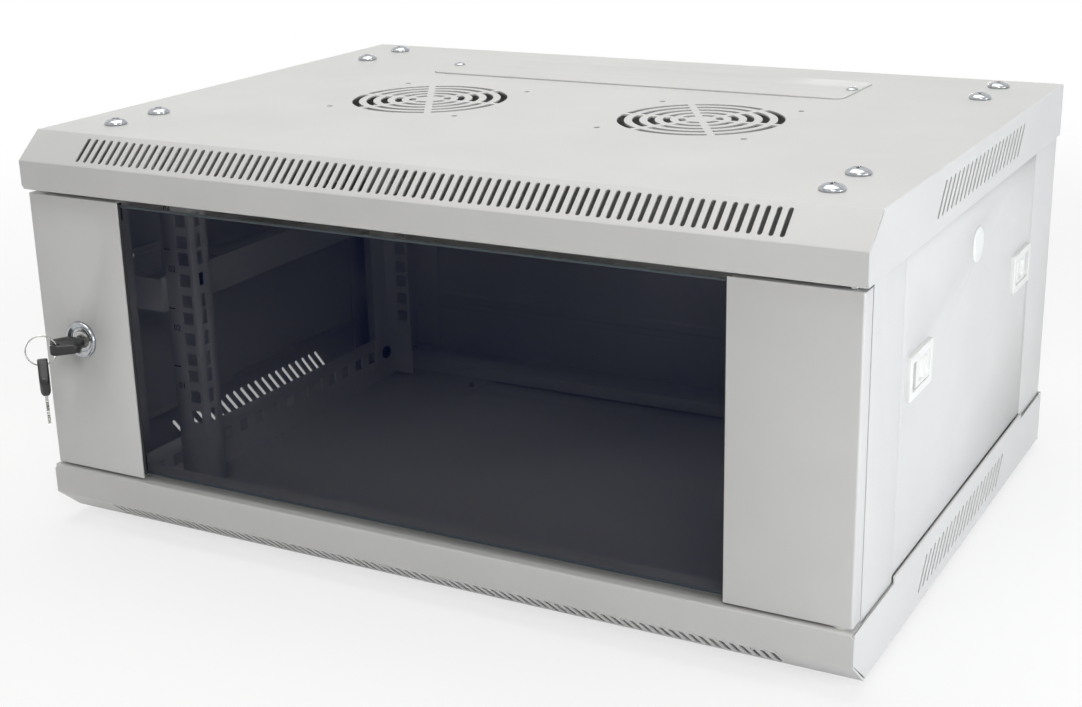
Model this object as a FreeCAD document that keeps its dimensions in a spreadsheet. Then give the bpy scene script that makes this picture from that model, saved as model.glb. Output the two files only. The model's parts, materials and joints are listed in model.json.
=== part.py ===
import FreeCAD, Part
import Sketcher
import math
import os
from types import SimpleNamespace

from FreeCAD import Placement, Rotation, Vector

# Wall mount 19-inch cabinet, 4U. Every piece is drawn from the rear bottom edge of the cabinet: x across,
# y forward is negative with the wall at y = 0, z up from the underside of the bottom cover. The pieces'
# Placement then lowers them by half the height, so that the origin is the middle of the wall face.

doc = FreeCAD.newDocument("WallCabinet")

sizes = {
    # cabinet
    "cabinet_width": 600,
    "cabinet_depth": 450,
    "cabinet_height": 280,
    "cover_sheet": 1.2,
    "frame_sheet": 1.5,
    "post_sheet": 1.2,
    "panel_sheet": 1.0,
    "rail_sheet": 1.5,
    # folded covers
    "slant_run": 21,
    "slant_drop": 18,
    "top_lip": 38,
    "base_lip": 39,
    "ledge_depth": 32,
    "skirt_raise": 4,
    "front_slot_length": 20,
    "front_slot_width": 3,
    "front_slot_pitch": 6.5,
    "front_slot_count": 78,
    "side_slot_length": 26,
    "side_slot_width": 3,
    "side_slot_pitch": 9.5,
    "side_slot_count": 21,
    "side_slot_lean": 39,
    "side_slot_drop": 19,
    "side_slot_y": 219,
    # fan grilles
    "fan_spacing": 216,
    "fan_y": 227,
    "fan_radius": 57,
    "fan_ring_pitch": 10.4,
    "fan_ring_slot": 5,
    "fan_ring_count": 5,
    "fan_spokes": 6,
    "fan_spoke_width": 5,
    "fan_screw_square": 105,
    "fan_screw_hole": 4.5,
    # cable entries
    "entry_width": 320,
    "entry_depth": 50,
    "entry_y": 86,
    "entry_overlap": 12,
    "entry_screw_inset": 7,
    "entry_corner": 8,
    "entry_screw_head": 9,
    "entry_screw_height": 2,
    "entry_screw_shank": 4,
    "entry_screw_length": 6,
    # cover bolts
    "bolt_inset": 10,
    "bolt_from_front": 55,
    "bolt_front_pair": 45,
    "bolt_from_wall": 32,
    "bolt_rear_pair": 51,
    "bolt_head": 16,
    "bolt_head_height": 4.5,
    "bolt_shank": 6,
    "bolt_length": 10,
    "bolt_clearance": 0.6,
    # posts
    "post_width": 57,
    "rear_post_width": 65,
    "post_depth": 23,
    "post_recess": 2,
    "post_return": 12,
    "joggle_depth": 10,
    "post_notch": 3,
    "post_slot_height": 5,
    "post_slot_width": 26,
    "rear_flange": 48,
    "keyhole_inset": 15,
    "keyhole_z": 50,
    "keyhole_head": 11,
    "keyhole_neck": 5.5,
    "keyhole_rise": 12,
    # beams
    "beam_gap": 25,
    "beam_end_gap": 3,
    "beam_height": 38.8,
    "beam_flange": 44,
    "beam_hole_z": 25,
    "beam_hole_pitch": 20,
    "beam_hole": 9.5,
    "mid_beam_z": 139,
    "mid_beam_height": 26,
    "mid_beam_flange": 35,
    "mid_flange_y": 307,
    "mid_flange_end": 10,
    "mid_slot_width": 8,
    "panel_rib_width": 6,
    "panel_rib_depth": 2,
    "panel_rib_inset": 12,
    "sill_height": 11,
    "sill_depth": 20,
    # 19-inch rails
    "unit_height": 44.45,
    "unit_count": 4,
    "unit_base_z": 52.4,
    "rail_hole": 9.5,
    "rail_hole_step": 15.875,
    "rail_flange": 25,
    "rail_hole_inset": 17.45,
    "rail_slot_width": 6,
    "rail_slot_height": 10,
    "rail_web": 20,
    "rail_return": 15,
    "rail_ear": 48,
    "rail_clear_z": 6,
    "front_rail_y": 370,
    "rear_rail_y": 90,
    "rail_bolt_y": 335,
    "rail_bolt_head": 11,
    "rail_bolt_height": 4,
    "rail_bolt_length": 8,
    # side panels
    "panel_gap": 0.4,
    "panel_step": 0.5,
    "panel_return": 9,
    "seat_clearance": 0.3,
    "latch_length": 45,
    "latch_height": 28,
    "latch_proud": 3,
    "latch_wall": 5,
    "latch_z": 164,
    "latch_travel": 8,
    "latch_from_edge": 10,
    "latch_overlap": 2,
    "latch_bevel": 0.8,
    "latch_clearance": 0.3,
    "latch_tongue": 2.3,
    "latch_tongue_height": 14,
    "plug_head": 24,
    "plug_hole": 20,
    "plug_y": 217,
    "plug_drop": 70,
    "plug_dome": 2,
    "plug_stem": 6,
    # door
    "door_recess": 3,
    "door_gap_top": 3,
    "door_gap_base": 2,
    "door_gap_side": 2,
    "door_sheet": 1.2,
    "door_flange": 13,
    "door_bend": 1.5,
    "stile_width": 79,
    "glass_thickness": 4,
    "glass_overlap": 26,
    "glass_gap": 2.5,
    "gasket_thickness": 1.3,
    "gasket_proud": 1.5,
    "gasket_width": 9,
    "clip_inset": 4,
    "clip_height": 14,
    "clip_thickness": 3,
    "hinge_inset": 8.5,
    "hinge_setback": 7,
    "pin_diameter": 6,
    "pin_length": 20,
    "pin_collar": 9,
    "pin_tail": 8,
    "pin_rim": 2,
    "running_clearance": 0.1,
    "washer_diameter": 12,
    # lock and keys
    "lock_inset": 35,
    "lock_z": 138,
    "lock_disc": 26,
    "disc_proud": 2,
    "disc_rim": 2.5,
    "lock_barrel": 18,
    "nut_thickness": 4,
    "plug_diameter": 12,
    "plug_proud": 1.2,
    "cam_length": 30,
    "cam_width": 12,
    "cam_sheet": 2,
    "cam_gap": 1,
    "cam_corner": 3,
    "cam_screw_height": 2.4,
    "key_head_length": 25,
    "key_head_width": 25,
    "key_head_thickness": 7,
    "key_head_bevel": 1,
    "key_blade_width": 8,
    "key_blade_thickness": 2,
    "key_blade_length": 22,
    "key_tooth_depth": 2,
    "key_tooth_pitch": 4,
    "key_standoff": 4,
    "key_ring_radius": 10.5,
    "key_ring_wire": 1.2,
    "key_hole": 4.4,
    "key_hole_inset": 4.5,
}

sheet = doc.addObject("Spreadsheet::Sheet", "Sizes")
for row, (alias, value) in enumerate(sizes.items(), 1):
    sheet.set(f"A{row}", alias)
    sheet.set(f"B{row}", str(value))
    sheet.setAlias(f"B{row}", alias)
doc.recompute()
size = SimpleNamespace(**{alias: float(sheet.get(alias)) for alias in sizes})

# places that several pieces share
half = size.cabinet_width / 2
front = -size.cabinet_depth
door_front = front + size.door_recess
hinge_x = half - size.door_gap_side - size.hinge_inset
hinge_y = door_front + size.hinge_setback
door_low = size.base_lip + size.door_gap_base
door_high = size.cabinet_height - size.top_lip - size.door_gap_top
skin_x = half - size.post_recess
post_x = skin_x - size.post_depth
door_swing = math.hypot(size.hinge_inset, size.hinge_setback)
post_front = hinge_y + size.hinge_setback + 1
post_face = hinge_y + door_swing + 0.6
front_post_back = post_front + size.post_width
rear_post_front = -size.rear_post_width
post_low = size.cover_sheet + size.frame_sheet
post_high = size.cabinet_height - post_low
beam_x = post_x - size.beam_gap
bolt_x = beam_x + size.bolt_inset
lock_x = half - size.door_gap_side - size.lock_inset
plug_z = size.cabinet_height - size.plug_drop
beam_at = "(Sizes.cabinet_width / 2 - Sizes.post_recess - Sizes.post_depth - Sizes.beam_gap)"
parts = []


def by_axis(axis, across, up, along):
    if axis == "x":
        return Vector(along, across, up)
    if axis == "y":
        return Vector(across, along, up)
    return Vector(across, up, along)


def prism(axis, points, low, high):
    """A closed outline of (first, second) points square to an axis, pushed from low to high along it."""
    corners = [by_axis(axis, a, b, low) for a, b in points]
    face = Part.Face(Part.makePolygon(corners + corners[:1]))
    return face.extrude(by_axis(axis, 0, 0, high - low))


def block(x, y, z):
    low = Vector(min(x), min(y), min(z))
    return Part.makeBox(max(x) - low.x, max(y) - low.y, max(z) - low.z, low)


def upright(radius, base, height):
    return Part.makeCylinder(radius, height, base)


def rod(radius, base, direction, length):
    return Part.makeCylinder(radius, length, base, direction)


def ring_points(radius, height, sides):
    """The corners of one ring of a many-sided turned solid, or its single point on the axis."""
    if radius == 0:
        return [Vector(0, 0, height)] * sides
    turns = [2 * math.pi * side / sides for side in range(sides)]
    return [Vector(radius * math.cos(turn), radius * math.sin(turn), height) for turn in turns]


def turned(profile, base, direction, sides=12):
    """A closed (radius, height) profile carried round a line from base along direction, with flat sides.

    Small hardware is drawn this way to keep its facets few.
    """
    faces = []
    for (r0, h0), (r1, h1) in zip(profile, profile[1:] + profile[:1]):
        low, high = ring_points(r0, h0, sides), ring_points(r1, h1, sides)
        if r0 == r1 == 0:
            continue
        if h0 == h1 and 0 in (r0, r1):
            rim = low if r0 else high
            faces.append(Part.Face(Part.makePolygon(rim + rim[:1])))
            continue
        for side in range(sides):
            after = (side + 1) % sides
            corners = [low[side], low[after], high[after], high[side]]
            corners = [spot for step, spot in enumerate(corners) if spot != corners[step - 1]]
            faces.append(Part.Face(Part.makePolygon(corners + corners[:1])))
    solid = Part.makeSolid(Part.makeShell(faces))
    if solid.Volume < 0:
        solid.reverse()
    solid.Placement = Placement(base, Rotation(Vector(0, 0, 1), direction))
    return solid


def bar_points(length, width, centre=(0, 0), lean=0):
    """A square-ended slot along the second axis, leaning towards the first."""
    turn = math.radians(lean)
    wide, long = width / 2, length / 2
    points = []
    for a, b in ((-wide, -long), (wide, -long), (wide, long), (-wide, long)):
        first = a * math.cos(turn) + b * math.sin(turn) + centre[0]
        points.append((first, b * math.cos(turn) - a * math.sin(turn) + centre[1]))
    return points


def spread(count, pitch):
    return [(step - (count - 1) / 2) * pitch for step in range(count)]


def lower(piece):
    """Bind the piece's height to the sheet, so that the origin is the middle of the wall face."""
    piece.setExpression("Placement.Base.z", "-Sizes.cabinet_height / 2")
    parts.append(piece)
    return piece


def add(label, shape):
    piece = doc.addObject("Part::Feature", label)
    piece.Shape = shape.removeSplitter()
    return lower(piece)


def add_group(label, solids):
    piece = doc.addObject("Part::Feature", label)
    piece.Shape = Part.makeCompound(solids)
    return lower(piece)


def add_mirror(label, source):
    """The left-hand twin of a right-hand piece."""
    piece = doc.addObject("Part::Mirroring", label)
    piece.Source = source
    piece.Normal = Vector(1, 0, 0)
    parts.append(piece)
    return piece


def add_pair(name, shape):
    right = add(f"right_{name}", shape)
    return right, add_mirror(f"left_{name}", right)


def upside_down(shape):
    """The same piece at the other end of the cabinet's height."""
    return shape.mirror(Vector(0, 0, size.cabinet_height / 2), Vector(0, 0, 1))


# ---- folded covers, drawn as the top one with its deck at z = 0

def cover_shell(lip):
    t = size.cover_sheet

    def outline(drop):
        return [(0, 0), (front + size.slant_run, 0), (front, -size.slant_drop), (front, -drop), (0, -drop)]

    outer = prism("x", outline(lip), -half, half)
    wire = Part.makePolygon([Vector(0, y, z) for y, z in outline(lip + 2 * t) + outline(lip)[:1]])
    inner = Part.Face(wire).makeOffset2D(-t)
    cavity = inner.extrude(Vector(2 * (half - t), 0, 0))
    cavity.translate(Vector(t - half, 0, 0))
    shell = outer.cut(cavity)
    return shell.fuse(cover_ledge(lip))


def cover_ledge(lip):
    """The lip's return, notched at both ends where the front posts stand."""
    t = size.cover_sheet
    low, high = -lip, t - lip
    notch = post_front - size.seat_clearance * 2
    across = post_x - 5
    wide = block((t - half, half - t), (front + t, notch), (low, high))
    inner = block((-across, across), (notch, front + size.ledge_depth), (low, high))
    pin = upright(size.pin_diameter / 2 + size.running_clearance, Vector(hinge_x, hinge_y, low - t), 3 * t)
    return wide.fuse(inner).cut(pin)


def front_slots():
    """The row of vent slots, square through the slanted face."""
    angle = math.degrees(math.atan2(size.slant_drop, size.slant_run))
    centre = Vector(0, front + size.slant_run / 2, -size.slant_drop / 2)
    seat = Placement(centre, Rotation(Vector(1, 0, 0), angle))
    reach = 3 * size.cover_sheet
    slots = []
    for x in spread(int(size.front_slot_count), size.front_slot_pitch):
        outline = bar_points(size.front_slot_length, size.front_slot_width, (x, 0))
        slot = prism("z", outline, -reach, reach)
        slot.Placement = seat
        slots.append(slot)
    return slots


def side_slots(lean):
    """Leaning slots through both skirts, stamped from one side of the blank."""
    slots = []
    for side in (1, -1):
        for y in spread(int(size.side_slot_count), size.side_slot_pitch):
            middle = (y - size.side_slot_y, -size.side_slot_drop)
            points = bar_points(size.side_slot_length, size.side_slot_width, middle, side * lean)
            inside, outside = half - 3 * size.cover_sheet, half + size.cover_sheet
            slots.append(prism("x", points, side * inside, side * outside))
    return slots


def ring_slot(inner, outer, start, sweep, centre, depth):
    """One curved slot between two radii, its arcs drawn as chords, fewer of them near the hub."""
    chords = 3 if outer > size.fan_radius * 0.7 else 2
    turns = [math.radians(start + sweep * step / chords) for step in range(chords + 1)]
    corners = [(outer, turn) for turn in turns] + [(inner, turn) for turn in reversed(turns)]
    points = [(far * math.cos(turn) + centre.x, far * math.sin(turn) + centre.y) for far, turn in corners]
    return prism("z", points, centre.z - depth / 2, centre.z + depth / 2)


def fan_grille(x):
    """Rings of curved slots between straight spokes, and the fan's four screw holes."""
    centre = Vector(x, -size.fan_y, 0)
    depth = 4 * size.cover_sheet
    sector = 360 / size.fan_spokes
    cuts = []
    for ring in range(int(size.fan_ring_count)):
        outer = size.fan_radius - ring * size.fan_ring_pitch
        inner = outer - size.fan_ring_slot
        gap = math.degrees(size.fan_spoke_width / (outer - size.fan_ring_slot / 2))
        for spoke in range(int(size.fan_spokes)):
            cuts.append(ring_slot(inner, outer, spoke * sector + gap / 2, sector - gap, centre, depth))
    reach = size.fan_screw_square / 2
    for dx in (-reach, reach):
        for dy in (-reach, reach):
            cuts.append(upright(size.fan_screw_hole / 2, centre + Vector(dx, dy, -depth / 2), depth))
    return cuts


def bolt_places():
    near_wall = -size.bolt_from_wall
    near_front = front + size.bolt_from_front
    rows = (near_front, near_front + size.bolt_front_pair, near_wall - size.bolt_rear_pair, near_wall)
    return [(x, y) for x in (-bolt_x, bolt_x) for y in rows]


def bolt_hole(x, y, z, shank):
    reach = (shank + size.bolt_clearance) / 2
    depth = 2 * size.frame_sheet + size.cover_sheet
    return block((x - reach, x + reach), (y - reach, y + reach), (z - depth, z + depth))


def entry_screw_places():
    x = size.entry_width / 2 + size.entry_screw_inset
    return [(-x, -size.entry_y), (x, -size.entry_y)]


def deck_cuts():
    cuts = [bolt_hole(x, y, 0, size.bolt_shank) for x, y in bolt_places()]
    cuts += [bolt_hole(x, y, 0, size.entry_screw_shank) for x, y in entry_screw_places()]
    wide, deep = size.entry_width / 2, size.entry_depth / 2
    cuts.append(block((-wide, wide), (-size.entry_y - deep, -size.entry_y + deep), (-10, 10)))
    return cuts


def make_covers():
    top = cover_shell(size.top_lip)
    cuts = front_slots() + side_slots(size.side_slot_lean) + deck_cuts()
    for x in (-size.fan_spacing / 2, size.fan_spacing / 2):
        cuts += fan_grille(x)
    top = top.cut(cuts)
    top.translate(Vector(0, 0, size.cabinet_height))
    add("top_cover", top)

    base = cover_shell(size.base_lip)
    raised_y = (front_post_back, rear_post_front)
    for side in (1, -1):
        x = (side * (half - size.cover_sheet), side * half)
        base = base.fuse(block(x, raised_y, (-size.base_lip - size.skirt_raise, -size.base_lip)))
    base = base.cut(front_slots() + side_slots(-size.side_slot_lean) + deck_cuts())
    add("bottom_cover", base.mirror(Vector(), Vector(0, 0, 1)))


def make_entry_plates():
    """Flat plates over the two cable entries, each a padded sketch with rounded corners."""
    for label, upward in (("top_cable_plate", True), ("bottom_cable_plate", False)):
        body = doc.addObject("PartDesign::Body", label)
        wide = "(Sizes.entry_width / 2 + Sizes.entry_overlap)"
        near = "(-Sizes.entry_y + Sizes.entry_depth / 2 + Sizes.entry_overlap)"
        far = "(-Sizes.entry_y - Sizes.entry_depth / 2 - Sizes.entry_overlap)"
        level = "Sizes.cabinet_height" if upward else "-Sizes.cover_sheet"
        outline = sketch(body, "XY_Plane", level)
        polygon(outline, [("-" + wide, far), (wide, far), (wide, near), ("-" + wide, near)])
        square_holes(outline, entry_screw_places(), size.entry_screw_shank + size.bolt_clearance)
        plate = pad(body, outline, "Sizes.cover_sheet")
        doc.recompute()
        edges = enumerate(plate.Shape.Edges, 1)
        corners = [f"Edge{number}" for number, edge in edges if is_outer_corner(edge)]
        rounded = body.newObject("PartDesign::Fillet", f"{label}_corners")
        rounded.Base = (plate, corners)
        rounded.setExpression("Radius", "Sizes.entry_corner")
        body.Tip = rounded
        lower(body)


def is_outer_corner(edge):
    box = edge.BoundBox
    is_upright = box.XLength < 1e-6 and box.YLength < 1e-6
    return is_upright and abs(box.XMax) > size.entry_width / 2 + size.entry_overlap - 0.1


# ---- sketch helpers for the PartDesign bodies

def sketch(body, role, level="0"):
    """A sketch on one of the body's own origin planes, raised along the plane's normal."""
    plane = next(item for item in body.Origin.OriginFeatures if item.Role == role)
    drawn = body.newObject("Sketcher::SketchObject", f"{body.Label}_sketch")
    drawn.AttachmentSupport = [(plane, "")]
    drawn.MapMode = "FlatFace"
    drawn.setExpression("AttachmentOffset.Base.z", level)
    return drawn


def polygon(drawn, points):
    """A closed outline whose corners are bound to expressions of the sheet."""
    spots = [Vector(float(sheet.evalExpression(a)), float(sheet.evalExpression(b)), 0) for a, b in points]
    first = drawn.GeometryCount
    for start, end in zip(spots, spots[1:] + spots[:1]):
        drawn.addGeometry(Part.LineSegment(start, end), False)
    for step in range(len(points)):
        after = first + (step + 1) % len(points)
        drawn.addConstraint(Sketcher.Constraint("Coincident", first + step, 2, after, 1))
    for step, (a, b) in enumerate(points):
        for kind, text, value in (("DistanceX", a, spots[step].x), ("DistanceY", b, spots[step].y)):
            index = drawn.addConstraint(Sketcher.Constraint(kind, -1, 1, first + step, 1, value))
            drawn.setExpression(f"Constraints[{index}]", text)


def rectangle(drawn, low, high):
    """A rectangle from one (first, second) corner to the other, as expressions of the sheet."""
    polygon(drawn, [low, (high[0], low[1]), high, (low[0], high[1])])


def square_holes(drawn, places, width):
    """Small square holes at worked-out places."""
    reach = width / 2
    for x, y in places:
        rectangle(drawn, (f"{x} - {reach}", f"{y} - {reach}"), (f"{x} + {reach}", f"{y} + {reach}"))


def pad(body, drawn, length, backwards=False):
    made = body.newObject("PartDesign::Pad", f"{drawn.Label}_pad")
    made.Profile = drawn
    made.setExpression("Length", length)
    made.Reversed = backwards
    body.Tip = made
    return made


def pocket(body, drawn, length):
    """Cut against the sketch plane's normal, and make sure that it has cut."""
    doc.recompute()
    before = body.Shape.Volume
    made = body.newObject("PartDesign::Pocket", f"{drawn.Label}_pocket")
    made.Profile = drawn
    made.setExpression("Length", length)
    body.Tip = made
    doc.recompute()
    if not body.Shape.Volume < before:
        raise ValueError(f"{made.Label} cuts nothing")
    return made


def repeat_upwards(body, feature):
    """One rack unit's cut, repeated for every unit."""
    axis = next(item for item in body.Origin.OriginFeatures if item.Role == "Z_Axis")
    made = body.newObject("PartDesign::LinearPattern", f"{feature.Label}_units")
    made.Originals = [feature]
    made.Direction = (axis, [""])
    made.Mode = "Spacing"
    made.setExpression("Offset", "Sizes.unit_height")
    made.setExpression("Occurrences", "Sizes.unit_count")
    body.Tip = made
    return made


# ---- 19-inch rails

def unit_heights():
    """The three hole heights of the lowest rack unit."""
    first = "Sizes.unit_base_z + (Sizes.unit_height - 2 * Sizes.rail_hole_step) / 2"
    return [f"({first} + {step} * Sizes.rail_hole_step)" for step in range(3)]


def ear_heights():
    """Where the rail bolts to the lower, middle and upper beam."""
    low = ("Sizes.rail_clear_z", "(Sizes.cover_sheet + Sizes.beam_height)")
    mid = ("Sizes.mid_beam_z", "(Sizes.mid_beam_z + Sizes.mid_beam_height - Sizes.frame_sheet)")
    high = ("(Sizes.cabinet_height - Sizes.cover_sheet - Sizes.beam_height)",
            "(Sizes.cabinet_height - Sizes.rail_clear_z)")
    return low, mid, high


def make_front_rail():
    body = doc.addObject("PartDesign::Body", "right_front_rail")
    inner, outer, t = f"({beam_at} - Sizes.rail_flange)", beam_at, "Sizes.rail_sheet"
    face = "-Sizes.front_rail_y"
    profile = sketch(body, "XY_Plane", "Sizes.rail_clear_z")
    polygon(profile, [
        (inner, face),
        (outer, face),
        (outer, f"{face} + Sizes.rail_return"),
        (f"{outer} - {t}", f"{face} + Sizes.rail_return"),
        (f"{outer} - {t}", f"{face} + {t}"),
        (f"{inner} + {t}", f"{face} + {t}"),
        (f"{inner} + {t}", f"{face} + Sizes.rail_web"),
        (inner, f"{face} + Sizes.rail_web"),
    ])
    pad(body, profile, "Sizes.cabinet_height - 2 * Sizes.rail_clear_z")

    ears = sketch(body, "YZ_Plane", f"{outer} - {t}")
    for low, high in ear_heights():
        rectangle(ears, (face, low), (f"{face} + Sizes.rail_ear", high))
    pad(body, ears, t)

    hole_x, reach = f"({beam_at} - Sizes.rail_hole_inset)", "Sizes.rail_hole / 2"
    unit = sketch(body, "XZ_Plane", "Sizes.front_rail_y")
    for height in unit_heights():
        low = (f"{hole_x} - {reach}", f"{height} - {reach}")
        rectangle(unit, low, (f"{hole_x} + {reach}", f"{height} + {reach}"))
    repeat_upwards(body, pocket(body, unit, t))

    web = sketch(body, "YZ_Plane", f"{inner} + {t}")
    middle = f"{face} + Sizes.rail_web / 2"
    wide, tall = "Sizes.rail_slot_width / 2", "Sizes.rail_slot_height / 2"
    for height in unit_heights():
        low = (f"{middle} - {wide}", f"{height} - {tall}")
        rectangle(web, low, (f"{middle} + {wide}", f"{height} + {tall}"))
    repeat_upwards(body, pocket(body, web, t))

    bolts = sketch(body, "YZ_Plane", outer)
    square_holes(bolts, rail_bolt_places()[:3], size.bolt_shank + size.bolt_clearance)
    pocket(body, bolts, t)
    lower(body)
    add_mirror("left_front_rail", body)


def make_rear_rail():
    body = doc.addObject("PartDesign::Body", "right_rear_rail")
    inner, outer, t = f"({beam_at} - Sizes.rail_flange)", beam_at, "Sizes.rail_sheet"
    face = "-Sizes.rear_rail_y"
    profile = sketch(body, "XY_Plane", "Sizes.rail_clear_z")
    polygon(profile, [
        (inner, face),
        (f"{outer} - {t}", face),
        (f"{outer} - {t}", f"{face} - Sizes.rail_web"),
        (outer, f"{face} - Sizes.rail_web"),
        (outer, f"{face} + {t}"),
        (inner, f"{face} + {t}"),
    ])
    pad(body, profile, "Sizes.cabinet_height - 2 * Sizes.rail_clear_z")

    hole_x, reach = f"({beam_at} - Sizes.rail_hole_inset)", "Sizes.rail_hole / 2"
    unit = sketch(body, "XZ_Plane", "Sizes.rear_rail_y")
    for height in unit_heights():
        low = (f"{hole_x} - {reach}", f"{height} - {reach}")
        rectangle(unit, low, (f"{hole_x} + {reach}", f"{height} + {reach}"))
    repeat_upwards(body, pocket(body, unit, t))

    bolts = sketch(body, "YZ_Plane", outer)
    square_holes(bolts, rail_bolt_places()[3:], size.bolt_shank + size.bolt_clearance)
    pocket(body, bolts, t)
    lower(body)
    add_mirror("left_rear_rail", body)


# ---- bolts

def domed_bolt(base, direction, head, height, shank, length):
    """A pan head seated at base with a square neck behind it, as one solid."""
    crown = head * 0.3
    cap = turned([(0, 0), (head / 2, 0), (crown, height), (0, height)], base, direction, 8)
    neck = Part.makeBox(shank, shank, length, Vector(-shank / 2, -shank / 2, -length))
    neck.Placement = Placement(base, Rotation(Vector(0, 0, 1), direction)).multiply(neck.Placement)
    return cap.fuse(neck).removeSplitter()


def make_cover_bolts():
    up, down = Vector(0, 0, 1), Vector(0, 0, -1)
    kit = (size.bolt_head, size.bolt_head_height, size.bolt_shank, size.bolt_length)
    tops = [domed_bolt(Vector(x, y, size.cabinet_height), up, *kit) for x, y in bolt_places()]
    bases = [domed_bolt(Vector(x, y, 0), down, *kit) for x, y in bolt_places()]
    add_group("top_bolts", tops)
    add_group("bottom_bolts", bases)

    kit = (size.entry_screw_head, size.entry_screw_height, size.entry_screw_shank, size.entry_screw_length)
    screws = []
    for x, y in entry_screw_places():
        screws.append(domed_bolt(Vector(x, y, size.cabinet_height + size.cover_sheet), up, *kit))
        screws.append(domed_bolt(Vector(x, y, -size.cover_sheet), down, *kit))
    add_group("cable_plate_screws", screws)


def rail_bolt_places():
    """(y, z) of the bolts that hold the rails to the beams."""
    low = size.beam_hole_z
    high = size.cabinet_height - size.beam_hole_z
    mid = size.mid_beam_z + size.mid_beam_height * 0.6
    rear = size.rear_rail_y + 6
    return [(-size.rail_bolt_y, z) for z in (low, mid, high)] + [(-rear, z) for z in (low, high)]


def make_rail_bolts():
    solids = []
    for side in (1, -1):
        seat = side * (beam_x - size.rail_sheet)
        kit = (size.rail_bolt_head, size.rail_bolt_height, size.bolt_shank, size.rail_bolt_length)
        for y, z in rail_bolt_places():
            solids.append(domed_bolt(Vector(seat, y, z), Vector(-side, 0, 0), *kit))
    add_group("rail_bolts", solids)


# ---- posts, beams and the rear of the frame

def make_front_posts():
    t = size.post_sheet
    z = (post_low, post_high)
    back = front_post_back
    seat_x = skin_x - size.panel_sheet - size.seat_clearance
    post = block((skin_x - t, skin_x), (post_front, back), z)
    for wall in (
        block((post_x, skin_x), (post_face, post_face + t), z),
        block((post_x, post_x + t), (post_face, back), z),
        block((post_x, post_x + size.post_return), (back - t, back), z),
        block((seat_x - t, skin_x), (back - t, back), z),
        block((seat_x - t, seat_x), (back - t, back + size.joggle_depth), z),
    ):
        post = post.fuse(wall)
    inner_wall = (post_x - 1, post_x + t + 1)
    strike = size.cam_length + 4
    strike_y = (post_face + t, post_face + t + size.cam_width)
    cuts = [block(inner_wall, strike_y, (size.lock_z - strike, size.lock_z + size.cam_width))]
    middle, wide, tall = (post_face + back) / 2, size.post_slot_width / 2, size.post_slot_height / 2
    for height in (0.3, 0.75):
        level = size.cabinet_height * height
        cuts.append(block(inner_wall, (middle - wide, middle + wide), (level - tall, level + tall)))
    # the skin's front corners are notched to clear the covers' slanted faces
    notch_y = (post_front - 1, post_front + size.post_notch)
    for notch_z in ((post_low - 1, post_low + size.post_notch), (post_high - size.post_notch, post_high + 1)):
        cuts.append(block((skin_x - t - 1, skin_x + 1), notch_y, notch_z))
    add_pair("front_post", post.cut(cuts))


def keyhole(x, z, y):
    """A wall screw's head goes through the round end, and its shank up the neck."""
    radius, deep = size.keyhole_head / 2, y[1] - y[0]
    head = turned([(0, 0), (radius, 0), (radius, deep), (0, deep)], Vector(x, y[0], z), Vector(0, 1, 0))
    reach = size.keyhole_neck / 2
    return head.fuse(block((x - reach, x + reach), y, (z, z + size.keyhole_rise)))


def make_rear_posts():
    t = size.post_sheet
    z = (post_low, post_high)
    face = -size.cover_sheet
    seat_x = skin_x - size.panel_sheet - size.seat_clearance
    post = block((skin_x - t, skin_x), (rear_post_front, face), z)
    for wall in (
        block((skin_x - size.rear_flange, skin_x), (face - t, face), z),
        block((post_x, post_x + t), (rear_post_front, face), z),
        block((post_x, post_x + size.post_return), (rear_post_front, rear_post_front + t), z),
        block((seat_x - t, skin_x), (rear_post_front, rear_post_front + t), z),
        block((seat_x - t, seat_x), (rear_post_front - size.joggle_depth, rear_post_front + t), z),
    ):
        post = post.fuse(wall)
    heights = (size.keyhole_z, size.cabinet_height - size.keyhole_z - size.keyhole_rise)
    cuts = [keyhole(skin_x - size.keyhole_inset, height, (face - t, face)) for height in heights]
    add_pair("rear_post", post.cut(cuts))


def beam_holes(z):
    """Square holes along a beam, in step with the front rail's bolt."""
    t = size.frame_sheet
    reach = size.beam_hole / 2
    start, end = beam_ends()
    first = math.ceil((start + reach + t + size.rail_bolt_y) / size.beam_hole_pitch)
    last = math.floor((end - reach - t + size.rail_bolt_y) / size.beam_hole_pitch)
    across, upwards = (beam_x - 1, beam_x + t + 1), (z - reach, z + reach)
    steps = [step * size.beam_hole_pitch - size.rail_bolt_y for step in range(first, last + 1)]
    return [block(across, (y - reach, y + reach), upwards) for y in steps]


def beam_ends():
    return front + size.ledge_depth + size.beam_end_gap, rear_post_front - size.beam_end_gap


def beam_bolt_hole(y, z):
    """A square hole for one rail bolt through a beam's web."""
    reach = (size.bolt_shank + size.bolt_clearance) / 2
    return block((beam_x, beam_x + size.frame_sheet), (y - reach, y + reach), (z - reach, z + reach))


def make_beams():
    t = size.frame_sheet
    z = (size.cover_sheet, size.cover_sheet + size.beam_height)
    web = block((beam_x, beam_x + t), beam_ends(), z)
    flange_y = (post_front + size.bolt_shank, -size.cover_sheet - size.post_sheet - 2)
    flange = block((beam_x, beam_x + size.beam_flange), flange_y, (z[0], z[0] + t))
    seats = [bolt_hole(x, y, z[0], size.bolt_shank) for x, y in bolt_places()]
    beam = web.fuse(flange).cut(seats)
    add_pair("lower_beam", beam.cut(beam_holes(size.beam_hole_z)))
    bolts = [(y, z) for y, z in rail_bolt_places() if z == size.beam_hole_z]
    add_pair("upper_beam", upside_down(beam.cut([beam_bolt_hole(y, z) for y, z in bolts])))


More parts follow.
